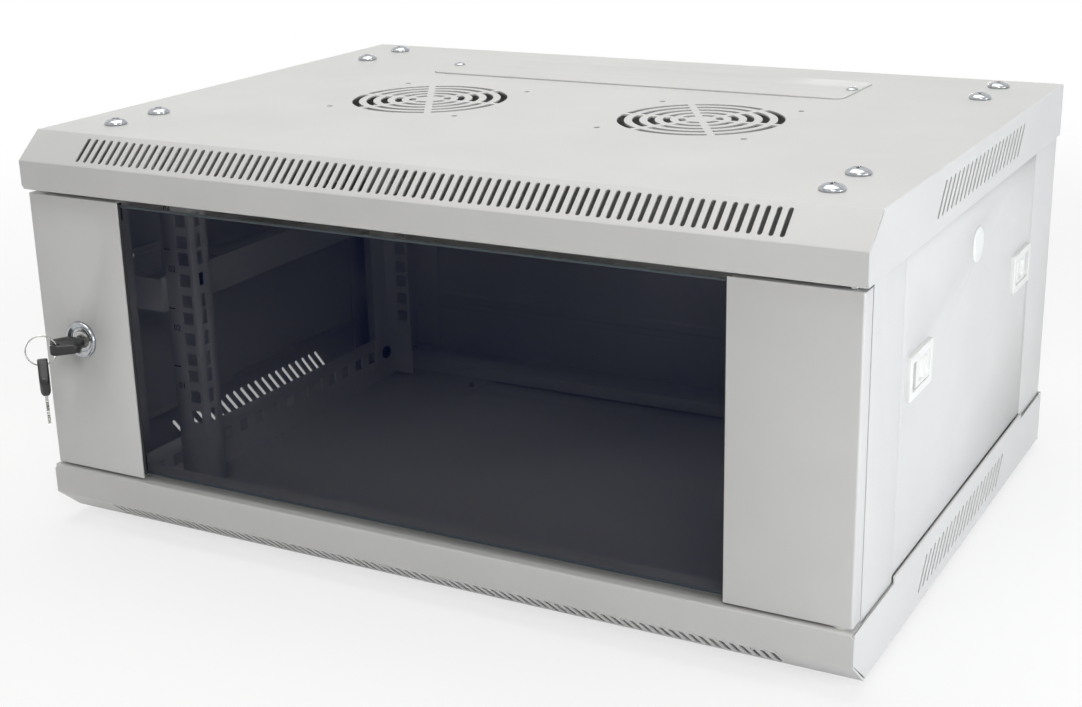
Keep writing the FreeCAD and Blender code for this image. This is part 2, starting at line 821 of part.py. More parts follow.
def make_mid_beams():
    t = size.frame_sheet
    start, end = front_post_back, rear_post_front
    low, high = size.mid_beam_z, size.mid_beam_z + size.mid_beam_height
    flange_y = (-size.mid_flange_y, end - size.mid_flange_end)
    beam = block((beam_x, beam_x + t), (start, end), (low, high))
    beam = beam.fuse(block((beam_x, beam_x + size.mid_beam_flange), flange_y, (high - t, high)))
    tab_x = (beam_x, post_x + size.post_return)
    for y in ((start, start + t), (end - t, end)):
        beam = beam.fuse(block(tab_x, y, (low, high - t)))
    middle = beam_x + t + (size.mid_beam_flange - t) / 2
    reach = size.mid_slot_width / 2
    third = (flange_y[1] - flange_y[0]) / 3
    cuts = [beam_bolt_hole(*rail_bolt_places()[1])]
    for y in (flange_y[0] + third * 0.75, flange_y[1] - third * 0.75):
        cuts.append(block((middle - reach, middle + reach), (y - third / 2, y + third / 2), (high - t, high)))
    add_pair("mid_beam", beam.cut(cuts))


def make_rear_panel():
    """The wall side: a flat sheet over the posts' flanges, with two ribs pressed inwards."""
    t = size.cover_sheet
    reach = skin_x - size.rear_flange + 12
    low, high = size.base_lip + size.panel_gap, size.cabinet_height - size.top_lip - size.panel_gap
    panel = block((-reach, reach), (-t, 0), (low, high))
    rib_reach = skin_x - size.rear_flange - 4
    wide, deep = size.panel_rib_width / 2, size.panel_rib_depth

    def rib(z, inset, y):
        flat = wide - inset
        return [(y - deep, z - flat), (y, z - flat - deep), (y, z + flat + deep), (y - deep, z + flat)]

    for z in (low + size.panel_rib_inset, high - size.panel_rib_inset):
        panel = panel.fuse(prism("x", rib(z, 0, -t), -rib_reach, rib_reach))
        panel = panel.cut(prism("x", rib(z, t / 2, 0), 1 - rib_reach, rib_reach - 1))
    add("rear_panel", panel)


def make_rear_sill():
    t = size.post_sheet
    low = size.cover_sheet
    y = (rear_post_front, rear_post_front + size.sill_depth)
    sill = block((-beam_x, beam_x), y, (low, low + size.sill_height))
    hollow = block((-half, half), (y[0] + t, y[1] - t), (low - 1, low + size.sill_height - t))
    add("rear_sill", sill.cut(hollow))


# ---- removable side panels and their slide latches

def latch_places():
    """(middle, direction of travel) of each latch along y."""
    near = size.latch_from_edge + size.latch_length / 2
    return {"front": (front_post_back + near, -1), "rear": (rear_post_front - near, 1)}


def make_side_panels():
    t = size.panel_sheet
    low = size.base_lip + size.skirt_raise + size.panel_step
    high = size.cabinet_height - size.top_lip - size.panel_step
    y = (front_post_back + size.panel_gap, rear_post_front - size.panel_gap)
    panel = block((skin_x - t, skin_x), y, (low, high))
    lap = size.joggle_depth + 2
    for edge in ((low, low + t), (high - t, high)):
        panel = panel.fuse(block((skin_x - size.panel_return, skin_x), (y[0] + lap, y[1] - lap), edge))
    cuts = []
    wide, tall = size.latch_length / 2 - size.latch_overlap, size.latch_height / 2 - size.latch_overlap
    for middle, _ in latch_places().values():
        window_z = (size.latch_z - tall, size.latch_z + tall)
        cuts.append(block((skin_x - t, skin_x), (middle - wide, middle + wide), window_z))
    hole, stem = size.plug_hole / 2 + size.running_clearance, size.plug_hole / 2
    cuts.append(rod(hole, Vector(skin_x - t, -size.plug_y, plug_z), Vector(1, 0, 0), t))
    add_pair("side_panel", panel.cut(cuts))

    head, deep, dome = size.plug_head / 2, size.plug_stem, size.plug_dome
    profile = [(0, -deep), (stem, -deep), (stem, 0), (head, 0), (head - dome, dome), (0, dome)]
    plug = turned(profile, Vector(skin_x, -size.plug_y, plug_z), Vector(1, 0, 0), 16)
    add_pair("blanking_plug", plug)


def make_latches():
    """Each latch is a bezel snapped into the panel's window and a slider with a tongue for the post's lip."""
    wall, clear, overlap = size.latch_wall, size.latch_clearance, size.latch_overlap
    proud = skin_x + size.latch_proud
    wide, tall = size.latch_length / 2, size.latch_height / 2
    z = size.latch_z
    for name, (middle, way) in latch_places().items():
        bezel = block((skin_x, proud), (middle - wide, middle + wide), (z - tall, z + tall))
        rim = [edge for edge in bezel.Edges if edge.BoundBox.XMin > proud - 0.1]
        bezel = bezel.makeChamfer(size.latch_bevel, rim)
        snug_wide, snug_tall = wide - overlap - clear, tall - overlap - clear
        collar_x = (skin_x - size.latch_proud, skin_x)
        collar_y, collar_z = (middle - snug_wide, middle + snug_wide), (z - snug_tall, z + snug_tall)
        open_wide, open_tall = wide - wall, tall - wall
        window_x = (collar_x[0] - 1, proud + 1)
        window = block(window_x, (middle - open_wide, middle + open_wide), (z - open_tall, z + open_tall))
        add_pair(f"{name}_latch_bezel", bezel.fuse(block(collar_x, collar_y, collar_z)).cut(window))

        back = middle - way * (open_wide - clear)
        nose = middle + way * (open_wide - clear - size.latch_travel)
        grip_back = skin_x - size.latch_proud - clear
        grip_z = (z - open_tall + clear, z + open_tall - clear)
        grip = block((grip_back, proud - 2 * clear), (back, nose), grip_z)
        dish_z = (z - open_tall + overlap, z + open_tall - overlap)
        dish = block((skin_x, proud + 1), (back + way * wall / 2, nose - way * wall), dish_z)
        lip = front_post_back + size.joggle_depth if way < 0 else rear_post_front - size.joggle_depth
        reach = size.latch_tongue_height / 2
        tongue_x, tongue_z = (grip_back - size.latch_tongue, grip_back), (z - reach, z + reach)
        tongue = block(tongue_x, (back, lip - way / 2), tongue_z)
        add_pair(f"{name}_latch_slider", grip.cut(dish).fuse(tongue))


# ---- door

def make_door():
    t = size.door_sheet
    z = (door_low, door_high)
    outer = half - size.door_gap_side
    inner = outer - size.stile_width
    back = door_front + size.door_flange
    plate = block((inner, outer), (door_front, door_front + t), z)
    side = block((outer - t, outer), (door_front, back), z)
    stile = plate.fuse(side)
    for edge in ((z[0], z[0] + t), (z[1] - t, z[1])):
        stile = stile.fuse(block((inner + 2, outer), (door_front, back), edge))
    stile = stile.removeSplitter()
    bend = [edge for edge in stile.Edges if is_door_bend(edge, outer)]
    stile = stile.makeFillet(size.door_bend, bend)
    left = stile.mirror(Vector(), Vector(1, 0, 0))

    pin = size.pin_diameter / 2 + size.running_clearance / 2
    bores = [upright(pin, Vector(hinge_x, hinge_y, z[0] - 1), t + 2),
             upright(pin, Vector(hinge_x, hinge_y, z[1] - t - 1), t + 2)]
    add("right_door_stile", stile.cut(bores))
    barrel = size.lock_barrel / 2 + size.running_clearance / 2
    lock_bore = rod(barrel, Vector(-lock_x, door_front - 1, size.lock_z), Vector(0, 1, 0), t + 2)
    add("left_door_stile", left.cut(lock_bore))

    glass_front = door_front + t + size.gasket_thickness
    reach = inner + size.glass_overlap
    glass = doc.addObject("Part::Box", "door_glass")
    reach_at = "(Sizes.cabinet_width / 2 - Sizes.door_gap_side - Sizes.stile_width + Sizes.glass_overlap)"
    low_at = "(Sizes.base_lip + Sizes.door_gap_base + Sizes.glass_gap)"
    high_at = "(Sizes.cabinet_height - Sizes.top_lip - Sizes.door_gap_top - Sizes.glass_gap)"
    front_at = "(Sizes.door_recess + Sizes.door_sheet + Sizes.gasket_thickness - Sizes.cabinet_depth)"
    glass.setExpression("Length", f"2 * {reach_at}")
    glass.setExpression("Width", "Sizes.glass_thickness")
    glass.setExpression("Height", f"{high_at} - {low_at}")
    glass.setExpression("Placement.Base.x", f"-{reach_at}")
    glass.setExpression("Placement.Base.y", front_at)
    glass.setExpression("Placement.Base.z", f"{low_at} - Sizes.cabinet_height / 2")
    parts.append(glass)

    lip = inner - size.gasket_proud
    glass_z = (z[0] + size.glass_gap, z[1] - size.glass_gap)
    add_pair("door_gasket", block((lip, lip + size.gasket_width), (door_front + t, glass_front), glass_z))

    clips = []
    behind = glass_front + size.glass_thickness
    clip_y = (behind, behind + size.clip_thickness)
    for side in (1, -1):
        x = (side * (inner + size.clip_inset), side * (reach - size.clip_inset))
        for clip_z in ((z[0] + t, z[0] + size.clip_height), (z[1] - size.clip_height, z[1] - t)):
            clips.append(block(x, clip_y, clip_z))
    add_group("glass_clips", clips)


def is_door_bend(edge, outer):
    box = edge.BoundBox
    is_long = box.ZLength > size.door_flange
    return is_long and abs(box.XMax - outer) < 1e-6 and abs(box.YMin - door_front) < 1e-6


def make_hinges():
    pin, collar = size.pin_diameter / 2, size.pin_collar / 2
    t = size.door_sheet
    up, down = Vector(0, 0, 1), Vector(0, 0, -1)
    tail, rim = size.pin_tail, size.pin_rim
    profile = [(0, -tail), (pin, -tail), (pin, -rim), (collar, -rim), (collar, 0), (pin, 0),
               (pin, size.pin_length - 1), (pin - 1, size.pin_length), (0, size.pin_length)]
    add("top_hinge_pin", turned(profile, Vector(hinge_x, hinge_y, door_high - t), up))
    add("bottom_hinge_pin", turned(profile, Vector(hinge_x, hinge_y, door_low + t), down))
    bore, edge = pin + 2 * size.running_clearance, size.washer_diameter / 2
    thick = size.door_gap_base - size.seat_clearance
    washer = [(bore, 0), (edge, 0), (edge, thick), (bore, thick)]
    add("hinge_washer", turned(washer, Vector(hinge_x, hinge_y, size.base_lip), up))


# ---- lock and keys

def make_lock():
    seat = Vector(-lock_x, door_front, size.lock_z)
    inwards = Vector(0, 1, 0)
    barrel, plug, disc = size.lock_barrel / 2, size.plug_diameter / 2, size.lock_disc / 2
    cam_y = post_face + size.post_sheet + size.cam_gap
    deep = cam_y - 1 - door_front
    bore = plug + size.running_clearance
    proud, rim = size.disc_proud, size.disc_rim
    dish = [(bore, -proud), (disc - 2 * rim, -proud), (disc - rim, -proud - rim / 4), (disc, rim / 2 - proud)]
    housing = dish + [(disc, 0), (barrel, 0), (barrel, deep), (bore, deep)]
    add("lock_housing", turned(housing, seat, inwards, 24))

    across = size.lock_barrel * 0.7
    turns = [math.radians(60 * corner) for corner in range(6)]
    nut_points = [(seat.x + across * math.cos(turn), seat.z + across * math.sin(turn)) for turn in turns]
    nut_y = door_front + size.door_sheet
    nut = prism("y", nut_points, nut_y, nut_y + size.nut_thickness)
    thread = barrel + 2 * size.running_clearance
    opening = [(0, 0), (thread, 0), (thread, size.nut_thickness), (0, size.nut_thickness)]
    add("lock_nut", nut.cut(turned(opening, Vector(seat.x, nut_y, seat.z), inwards, 16)))

    plug_end = cam_y - door_front
    face = -size.plug_proud
    core = turned([(0, face), (plug, face), (plug, plug_end), (0, plug_end)], seat, inwards, 24)
    wide = size.key_blade_width / 2 + 2 * size.running_clearance
    thin = size.key_blade_thickness / 2 + 2 * size.running_clearance
    keyway_y = (door_front - size.disc_proud, door_front - size.key_standoff + size.key_blade_length + 1)
    keyway = block((seat.x - wide, seat.x + wide), keyway_y, (seat.z - thin, seat.z + thin))
    add("lock_plug", core.cut(keyway))

    reach, nip = size.cam_width / 2, size.cam_corner
    top, tip = seat.z + reach, seat.z - size.cam_length
    half_outline = [(reach, top), (reach, tip + nip), (reach - nip, tip)]
    outline = [(seat.x + x, z) for x, z in half_outline]
    outline += [(seat.x - x, z) for x, z in reversed(half_outline)]
    add("lock_cam", prism("y", outline, cam_y, cam_y + size.cam_sheet))
    wide, tall = size.bolt_shank * 0.75, size.cam_screw_height
    screw = turned([(0, 0), (wide, 0), (wide, tall * 0.6), (wide * 0.7, tall), (0, tall)],
                   Vector(seat.x, cam_y + size.cam_sheet, seat.z), inwards)
    add("cam_screw", screw)


def key_pieces():
    """A key along -y with its head's hole at the origin: the plastic head and the steel blade."""
    long, wide, thick = size.key_head_length, size.key_head_width / 2, size.key_head_thickness / 2
    tip = -size.key_hole_inset
    shoulder = tip + long
    low_bend, high_bend = tip + long * 0.42, tip + long * 0.58
    half_outline = [(wide * 0.2, tip), (wide, low_bend), (wide, high_bend), (wide / 2, shoulder)]
    outline = half_outline + [(-x, y) for x, y in reversed(half_outline)]
    head = prism("z", outline, -thick, thick)
    rims = [edge for edge in head.Edges if edge.BoundBox.ZLength < 1e-6]
    head = head.makeChamfer(size.key_head_bevel, rims)
    hole, through = size.key_hole / 2, 2 * size.key_head_thickness
    bore = [(0, 0), (hole, 0), (hole, through), (0, through)]
    head = head.cut(turned(bore, Vector(0, 0, -through / 2), Vector(0, 0, 1)))

    blade, half_thick = size.key_blade_width / 2, size.key_blade_thickness / 2
    end = shoulder + size.key_blade_length
    bite, pitch = size.key_tooth_depth, size.key_tooth_pitch
    start = end - 3.5 * pitch
    edge = [(blade, shoulder), (blade, start - pitch / 4)]
    for tooth in range(3):
        root = start + tooth * pitch
        edge += [(blade - bite, root), (blade - bite * (0.4 + 0.5 * (tooth % 2)), root + pitch / 2)]
    edge += [(bite / 2, end), (bite / 2 - blade, end), (-blade, end - bite), (-blade, shoulder)]
    return head, prism("z", edge, -half_thick, half_thick)


def make_keys():
    head, blade = key_pieces()
    shoulder_y = door_front - size.key_standoff
    hole = Vector(-lock_x, shoulder_y - size.key_head_length + size.key_hole_inset, size.lock_z)
    for label, shape in (("key_head", head), ("key_blade", blade)):
        placed = shape.copy()
        placed.translate(hole)
        add(label, placed)

    # the ring hangs from the hole, square to the line between the door and the left
    radius, wire = size.key_ring_radius, size.key_ring_wire / 2
    middle = hole + Vector(-1, -1, 0).normalize() * radius
    square_to = Vector(1, -1, 0).normalize()
    section = [(radius - wire, -wire), (radius + wire, -wire), (radius + wire, wire), (radius - wire, wire)]
    add("key_ring", turned(section, middle, square_to, 16))

    # the spare key hangs from the ring's lowest point, flat across the ring
    hang = middle - Vector(0, 0, radius)
    down = Vector(0, 0, -1)
    upright_key = Rotation(square_to, down, square_to.cross(down), "XYZ")
    for label, shape in (("spare_key_head", head), ("spare_key_blade", blade)):
        placed = shape.copy()
        placed.Placement = Placement(hang, upright_key)
        add(label, placed)


def check_and_write():
    doc.recompute()
    broken = [item.Label for item in doc.Objects if {"Invalid", "Error"} & set(item.State)]
    for piece in parts:
        if piece.Shape.isNull() or not piece.Shape.isValid() or not piece.Shape.Solids:
            broken.append(piece.Label)
    if broken:
        raise ValueError(f"these did not build: {sorted(set(broken))}")
    os.makedirs("parts", exist_ok=True)
    for piece in parts:
        piece.Shape.exportStep(os.path.join("parts", f"{piece.Label}.step"))
    print(len(parts), "sub-parts written")


make_covers()
make_entry_plates()
make_front_posts()
make_rear_posts()
make_beams()
make_mid_beams()
make_rear_panel()
make_rear_sill()
make_front_rail()
make_rear_rail()
make_cover_bolts()
make_rail_bolts()
make_side_panels()
make_latches()
make_door()
make_hinges()
make_lock()
make_keys()
check_and_write()
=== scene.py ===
import json
import bmesh
import bpy
import numpy as np
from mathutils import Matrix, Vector
from mathutils.geometry import tessellate_polygon


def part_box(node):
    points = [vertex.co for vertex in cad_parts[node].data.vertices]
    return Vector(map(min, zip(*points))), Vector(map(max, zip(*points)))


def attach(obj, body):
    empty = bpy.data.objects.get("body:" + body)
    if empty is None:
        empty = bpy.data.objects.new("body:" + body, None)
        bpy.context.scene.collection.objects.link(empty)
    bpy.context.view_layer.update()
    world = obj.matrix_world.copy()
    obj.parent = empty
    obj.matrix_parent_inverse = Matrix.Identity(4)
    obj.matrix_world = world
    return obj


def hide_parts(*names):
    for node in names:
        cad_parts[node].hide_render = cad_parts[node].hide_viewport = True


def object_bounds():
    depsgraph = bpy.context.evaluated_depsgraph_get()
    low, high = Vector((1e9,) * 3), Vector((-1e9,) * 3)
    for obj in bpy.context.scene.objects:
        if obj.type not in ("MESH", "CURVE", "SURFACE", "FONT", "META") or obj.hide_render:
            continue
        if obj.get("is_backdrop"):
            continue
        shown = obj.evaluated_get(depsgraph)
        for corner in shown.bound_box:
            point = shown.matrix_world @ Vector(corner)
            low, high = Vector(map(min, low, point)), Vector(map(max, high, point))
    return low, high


# A low wall cabinet for 19-inch equipment: folded and powder-coated sheet, a smoked glass door between
# steel stiles, a key lock with two keys, and side panels held by plastic slide latches.
# Units are metres; the middle of the wall face is the origin and the door faces -Y.

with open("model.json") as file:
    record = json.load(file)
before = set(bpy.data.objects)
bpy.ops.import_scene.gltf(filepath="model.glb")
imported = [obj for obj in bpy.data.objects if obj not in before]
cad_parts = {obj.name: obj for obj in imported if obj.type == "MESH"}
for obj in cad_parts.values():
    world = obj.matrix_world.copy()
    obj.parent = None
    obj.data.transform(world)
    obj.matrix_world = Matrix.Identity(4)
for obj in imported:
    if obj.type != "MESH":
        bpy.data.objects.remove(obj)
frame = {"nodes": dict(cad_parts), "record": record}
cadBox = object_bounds()
mm = 0.001
print("frame loaded:", len(frame["nodes"]), "nodes")


# sRGB hex to the linear red, green, blue and alpha that shader sockets take
def hexColour(code):
    srgb = np.array([int(code[start:start + 2], 16) for start in (1, 3, 5)]) / 255
    linear = np.where(srgb <= 0.04045, srgb / 12.92, ((srgb + 0.055) / 1.055) ** 2.4)
    return (*linear.tolist(), 1.0)


# one node of a tree: its properties, its socket values, and the outputs that feed it
def addNode(tree, kind, values=None, links=None, **properties):
    node = tree.nodes.new(kind)
    for name, value in properties.items():
        setattr(node, name, value)
    for name, value in (values or {}).items():
        node.inputs[name].default_value = value
    for name, output in (links or {}).items():
        tree.links.new(output, node.inputs[name])
    return node


# a material whose Principled shader has its plain numbers set on its own sockets
def newMaterial(name, **shader):
    material = bpy.data.materials.new(name)
    material.use_nodes = True
    tree = material.node_tree
    principled = tree.nodes["Principled BSDF"]
    for socket, value in shader.items():
        principled.inputs[socket.replace("_", " ")].default_value = value
    place = addNode(tree, "ShaderNodeTexCoord").outputs["Object"]
    return material, tree, principled, place


# noise of a real size in metres, as a 0 to 1 factor
def grain(tree, place, size, detail=2.0, roughness=0.5):
    values = {"Scale": 1 / size, "Detail": detail, "Roughness": roughness}
    return addNode(tree, "ShaderNodeTexNoise", values, {"Vector": place}).outputs[0]


# a colour that drifts between two paints by a factor
def drift(tree, factor, low, high, start=0.3, end=0.7):
    ramp = addNode(tree, "ShaderNodeValToRGB", links={"Fac": factor})
    ramp.color_ramp.elements[0].position, ramp.color_ramp.elements[1].position = start, end
    ramp.color_ramp.elements[0].color, ramp.color_ramp.elements[1].color = hexColour(low), hexColour(high)
    return ramp.outputs["Color"]


# a factor of 0 to 1 moved into a narrow range, for roughness
def between(tree, factor, low, high):
    values = {"To Min": low, "To Max": high}
    return addNode(tree, "ShaderNodeMapRange", values, {"Value": factor}).outputs["Result"]


# A procedural finish from its kit. The grain (size, detail, roughness) moves the roughness and makes a relief of a
# real height in metres.
def makeFinish(name, kit, **values):
    material, tree, shader, place = newMaterial(name, **values)
    if "stretch" in kit:
        place = addNode(tree, "ShaderNodeMapping", {"Scale": kit["stretch"]}, {"Vector": place}).outputs[0]
    fine = grain(tree, place, *kit["grain"])
    tone = grain(tree, place, *kit["broad"]) if "broad" in kit else fine
    tree.links.new(drift(tree, tone, *kit["paints"], *kit.get("fade", ())), shader.inputs["Base Color"])
    tree.links.new(between(tree, fine, *kit["rough"]), shader.inputs["Roughness"])
    if "height" in kit:
        bump = addNode(tree, "ShaderNodeBump", {"Strength": 1.0, "Distance": kit["height"]}, {"Height": fine})
        tree.links.new(bump.outputs["Normal"], shader.inputs["Normal"])
    return material


# Polyester powder coat, sprayed and baked on folded steel: a fine orange peel about a millimetre across breaks
# up the highlights, and the tone drifts a little over a sheet. The true grain of about 0.3 mm is too fine to
# show, so the peel is drawn at 1.3 mm.
powderCoat = {"paints": ("#cbcbca", "#d1d1d0"), "grain": (1.3 * mm, 2.0, 0.6), "broad": (90 * mm, 3.0),
              "rough": (0.36, 0.52), "height": 0.035 * mm}

# Injection-moulded ABS for latches and plugs: satin, with the mould's faint spark grain and slight yellowing.
latchPlastic = {"paints": ("#dcddda", "#e4e5e3"), "grain": (0.9 * mm, 3.0, 0.7), "broad": (14 * mm, 1.0),
                "rough": (0.32, 0.46), "height": 0.012 * mm}

# Extruded EPDM rubber: a dull black profile with faint lines along its run and a little bloom.
rubberSeal = {"paints": ("#101112", "#24262a"), "fade": (0.45, 0.85), "grain": (1.1 * mm, 3.0),
              "stretch": (1.0, 1.0, 0.04), "rough": (0.55, 0.8), "height": 0.02 * mm}

# Bright chrome plate over pressed steel: mirror-like, with fine polishing haze.
chromePlate = {"paints": ("#94979b", "#bdc0c3"), "grain": (2.2 * mm, 4.0, 0.65), "rough": (0.07, 0.2),
               "height": 0.006 * mm}

# Painted shade in the cross recess of a plated screw: a darker colour stands in for the shade that falls in it, and
# the plate there is duller and rougher.
recessShadePaint = {"paints": ("#3b3c3f", "#6d6f72"), "grain": (0.9 * mm, 3.0, 0.6), "rough": (0.4, 0.6),
               "height": 0.01 * mm}

# Nickel-plated and tumbled steel: greyer than chrome, with a soft cloudy roughness.
nickelPlate = {"paints": ("#a3a39f", "#c3c3bf"), "grain": (1.6 * mm, 4.0, 0.6), "rough": (0.2, 0.38),
               "height": 0.01 * mm}

# Black zinc on machine screws: near black with a soft sheen, thinner and browner where it is handled.
blackZinc = {"paints": ("#16171a", "#2b2c30"), "fade": (0.4, 0.8), "grain": (1.4 * mm, 4.0, 0.6),
             "rough": (0.22, 0.4), "height": 0.01 * mm}

# Moulded black ABS on the key heads and glass clips: satin black with a spark grain.
blackPlastic = {"paints": ("#0e0f10", "#1b1c1e"), "grain": (0.8 * mm, 3.0, 0.7), "rough": (0.28, 0.45),
                "height": 0.015 * mm}

# Natural nylon washer: waxy off-white that lets a little light in.
nylonWasher = {"paints": ("#e2e2d8", "#efefe8"), "grain": (2.5 * mm, 3.0), "rough": (0.35, 0.5),
               "height": 0.01 * mm}

# Smoked toughened float glass, 4 mm: a cool blue-grey tint that dims what is behind it, and a clear polished face
# with the faintest dust.
smokedGlass = {"paints": ("#0b1430", "#0f1935"), "grain": (60 * mm, 5.0, 0.6), "rough": (0.01, 0.05)}

# Ground glass: the edges of the door's glass, matt and chipped enough to catch the light.
groundGlass = {"paints": ("#4c565c", "#5b656b"), "grain": (1.2 * mm, 4.0, 0.7), "rough": (0.25, 0.45),
               "height": 0.02 * mm}

# Screen-printed enamel ink for the rack unit numbers: matt black with slightly uneven cover.
printInk = {"paints": ("#0c0d0e", "#1c1d1f"), "grain": (0.7 * mm, 2.0), "rough": (0.5, 0.7)}

finishes = {
    "grey_powder_coat": makeFinish("powderCoatedSteel", powderCoat, IOR=1.5),
    "white_plastic": makeFinish("mouldedWhiteAbs", latchPlastic, IOR=1.53),
    "black_rubber": makeFinish("extrudedEpdmRubber", rubberSeal, IOR=1.5),
    "chrome": makeFinish("chromePlatedSteel", chromePlate, Metallic=1.0),
    "black_steel": makeFinish("blackZincSteel", blackZinc, Metallic=0.6),
    "smoked_glass": makeFinish("smokedToughenedGlass", smokedGlass, IOR=1.52, Specular_IOR_Level=0.004, Alpha=0.36),
    "black_plastic": makeFinish("mouldedBlackAbs", blackPlastic, IOR=1.53),
    "nylon": makeFinish("naturalNylon", nylonWasher, IOR=1.53, Subsurface_Weight=0.15, Subsurface_Scale=2 * mm),
    "plated_steel": makeFinish("nickelPlatedSteel", nickelPlate, Metallic=1.0),
}
glassEdge = makeFinish("groundGlassEdge", groundGlass, IOR=1.52)
ink = makeFinish("screenPrintedInk", printInk, IOR=1.45)
# painted shade for the bolts' cross recesses
recess = makeFinish("paintedShadeInRecess", recessShadePaint, Metallic=0.7)
slotOf = {part["node"]: part["material_slot"] for part in frame["record"]["subparts"]}
bodyOf = {node: body for body, nodes in frame["record"]["behaviour"]["bodies"].items() for node in nodes}
print("finishes made:", len(finishes) + len((glassEdge, ink, recess)))


# put a finished mesh object in the scene: its body, the nodes it stands for and its finish
def finishPiece(name, mesh, nodes, slot=None, body=None, material=None):
    piece = bpy.data.objects.new(name, mesh)
    bpy.context.scene.collection.objects.link(piece)
    slot = slot or slotOf[nodes[0]]
    if not mesh.materials:
        mesh.materials.append(material or finishes[slot])
    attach(piece, body or bodyOf[nodes[0]])
    if nodes:
        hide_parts(*nodes)
    return piece


# one vector for each face of a mesh, its centre or its normal
def faceVectors(mesh, kind):
    values = np.empty(len(mesh.polygons) * 3)
    mesh.polygons.foreach_get(kind, values)
    return values.reshape(-1, 3)


# two finishes on one mesh, the second on the faces that are marked
def twoFinishes(mesh, first, second, marked):
    mesh.materials.append(first)
    mesh.materials.append(second)
    mesh.polygons.foreach_set("material_index", marked.astype(np.int32))


# A surface given as rows by columns of points: each point joins its neighbours in quads, and the last column
# (or row) joins the first where the surface wraps.
def gridFaces(rows, columns, wrapRows=False, wrapColumns=True):
    number = np.arange(rows * columns).reshape(rows, columns)
    if wrapRows:
        number = np.vstack([number, number[:1]])
    if wrapColumns:
        number = np.hstack([number, number[:, :1]])
    corners = (number[:-1, :-1], number[:-1, 1:], number[1:, 1:], number[1:, :-1])
    return np.stack(corners, axis=-1).reshape(-1, 4)


# Several surfaces in one mesh: points that meet are welded, open ends closed, faces turned outwards, and edges
# sharper than an angle in degrees kept crisp.
def surfaceMesh(name, shells, crisp=35, close=True):
    points = np.vstack([shell.reshape(-1, 3) for shell, _ in shells])
    starts = np.cumsum([0] + [shell.size // 3 for shell, _ in shells[:-1]])
    faces = [row for (_, quads), start in zip(shells, starts) for row in (quads + start).tolist()]
    mesh = bpy.data.meshes.new(name)
    mesh.from_pydata(points.tolist(), [], faces)
    shape = bmesh.new()
    shape.from_mesh(mesh)
    bmesh.ops.remove_doubles(shape, verts=shape.verts, dist=0.001 * mm)
    if close:
        bmesh.ops.holes_fill(shape, edges=shape.edges, sides=0)
    bmesh.ops.recalc_face_normals(shape, faces=shape.faces)
    for face in shape.faces:
        face.smooth = True
    shape.to_mesh(mesh)
    shape.free()
    mesh.set_sharp_from_angle(angle=np.radians(crisp))
    return mesh


# three axes whose third points along a direction, as the columns of a matrix
def axesAlong(direction):
    return np.array(Vector(direction).to_track_quat("Z", "Y").to_matrix())


# local points turned and moved to their place
def placed(points, base, axes):
    return points @ np.asarray(axes).T + np.asarray(base)


# A polyline with each corner replaced by a short curve: (1-t)^2 A + 2t(1-t) corner + t^2 B, with A and B a
# radius away from the corner.
def softened(corners, radius, steps=3):
    corners = np.array(corners, float)
    before, corner, after = corners[:-2], corners[1:-1], corners[2:]
    back, ahead = before - corner, after - corner
    backLength, aheadLength = np.linalg.norm(back, axis=1), np.linalg.norm(ahead, axis=1)
    reach = np.minimum(radius, np.minimum(backLength, aheadLength) * 0.45)[:, None]
    start, end = corner + back / backLength[:, None] * reach, corner + ahead / aheadLength[:, None] * reach
    t = np.linspace(0, 1, steps + 1)[None, :, None]
    curve = (1 - t) ** 2 * start[:, None] + 2 * t * (1 - t) * corner[:, None] + t ** 2 * end[:, None]
    return np.vstack([corners[:1], curve.reshape(-1, 2), corners[-1:]])


# A turned piece: every (radius, height) of the profile is carried round the axis, x = r cos a, y = r sin a, z = h.
def turnedShell(profile, base, direction, steps=48):
    profile = np.asarray(profile, float)
    angle = np.linspace(0, 2 * np.pi, steps, endpoint=False)
    radius, height = profile[:, :1], profile[:, 1:]
    points = np.stack([radius * np.cos(angle), radius * np.sin(angle), height + 0 * angle], axis=-1)
    return placed(points, base, axesAlong(direction)), gridFaces(len(profile), steps)


# The outline of a flat bar with rounded corners: four quarter circles, and even steps along the long sides so
# that the bar can be bent.
def barOutline(length, width, corner, cornerSteps=4, sideSteps=1):
    turn = np.linspace(0, np.pi / 2, cornerSteps + 1)
    quarter = corner * np.stack([np.cos(turn), np.sin(turn)], 1) + (length / 2 - corner, width / 2 - corner)
    run = np.linspace(quarter[-1, 0], -quarter[-1, 0], sideSteps + 1)[1:-1]
    half = np.vstack([quarter, np.stack([run, np.full_like(run, width / 2)], 1), quarter[::-1] * (-1, 1)])
    return np.vstack([half, -half])


# A block of rings: each (inset, height) of the section shrinks the outline by the inset and lifts it to the
# height, so that the rows run over the block's edges.
def ringShell(length, width, corner, section, wrap=False, least=0.3 * mm):
    rings = []
    for inset, height in section:
        flat = barOutline(length - 2 * inset, width - 2 * inset, max(corner - inset, least), 5)
        rings.append(np.column_stack([flat, np.full(len(flat), height)]))
    rings = np.array(rings)
    return rings, gridFaces(rings.shape[0], rings.shape[1], wrap)


# the middle of a node's box
def middleOf(name):
    low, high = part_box(name)
    return (low + high) / 2


# 0 below the first value, 1 above the second, and a soft step between
def softStep(value, start, end):
    t = np.clip((value - start) / (end - start), 0, 1)
    return t * t * (3 - 2 * t)


# Folded sheet keeps its packed outline: a merged copy of the node, its flat faces joined again, with a small
# rounding along every edge, as a folded or punched edge has after coating.
sheetEdges = {"rounding": 0.35 * mm, "smallRounding": 0.2 * mm, "segments": 2, "limit": 0.5}


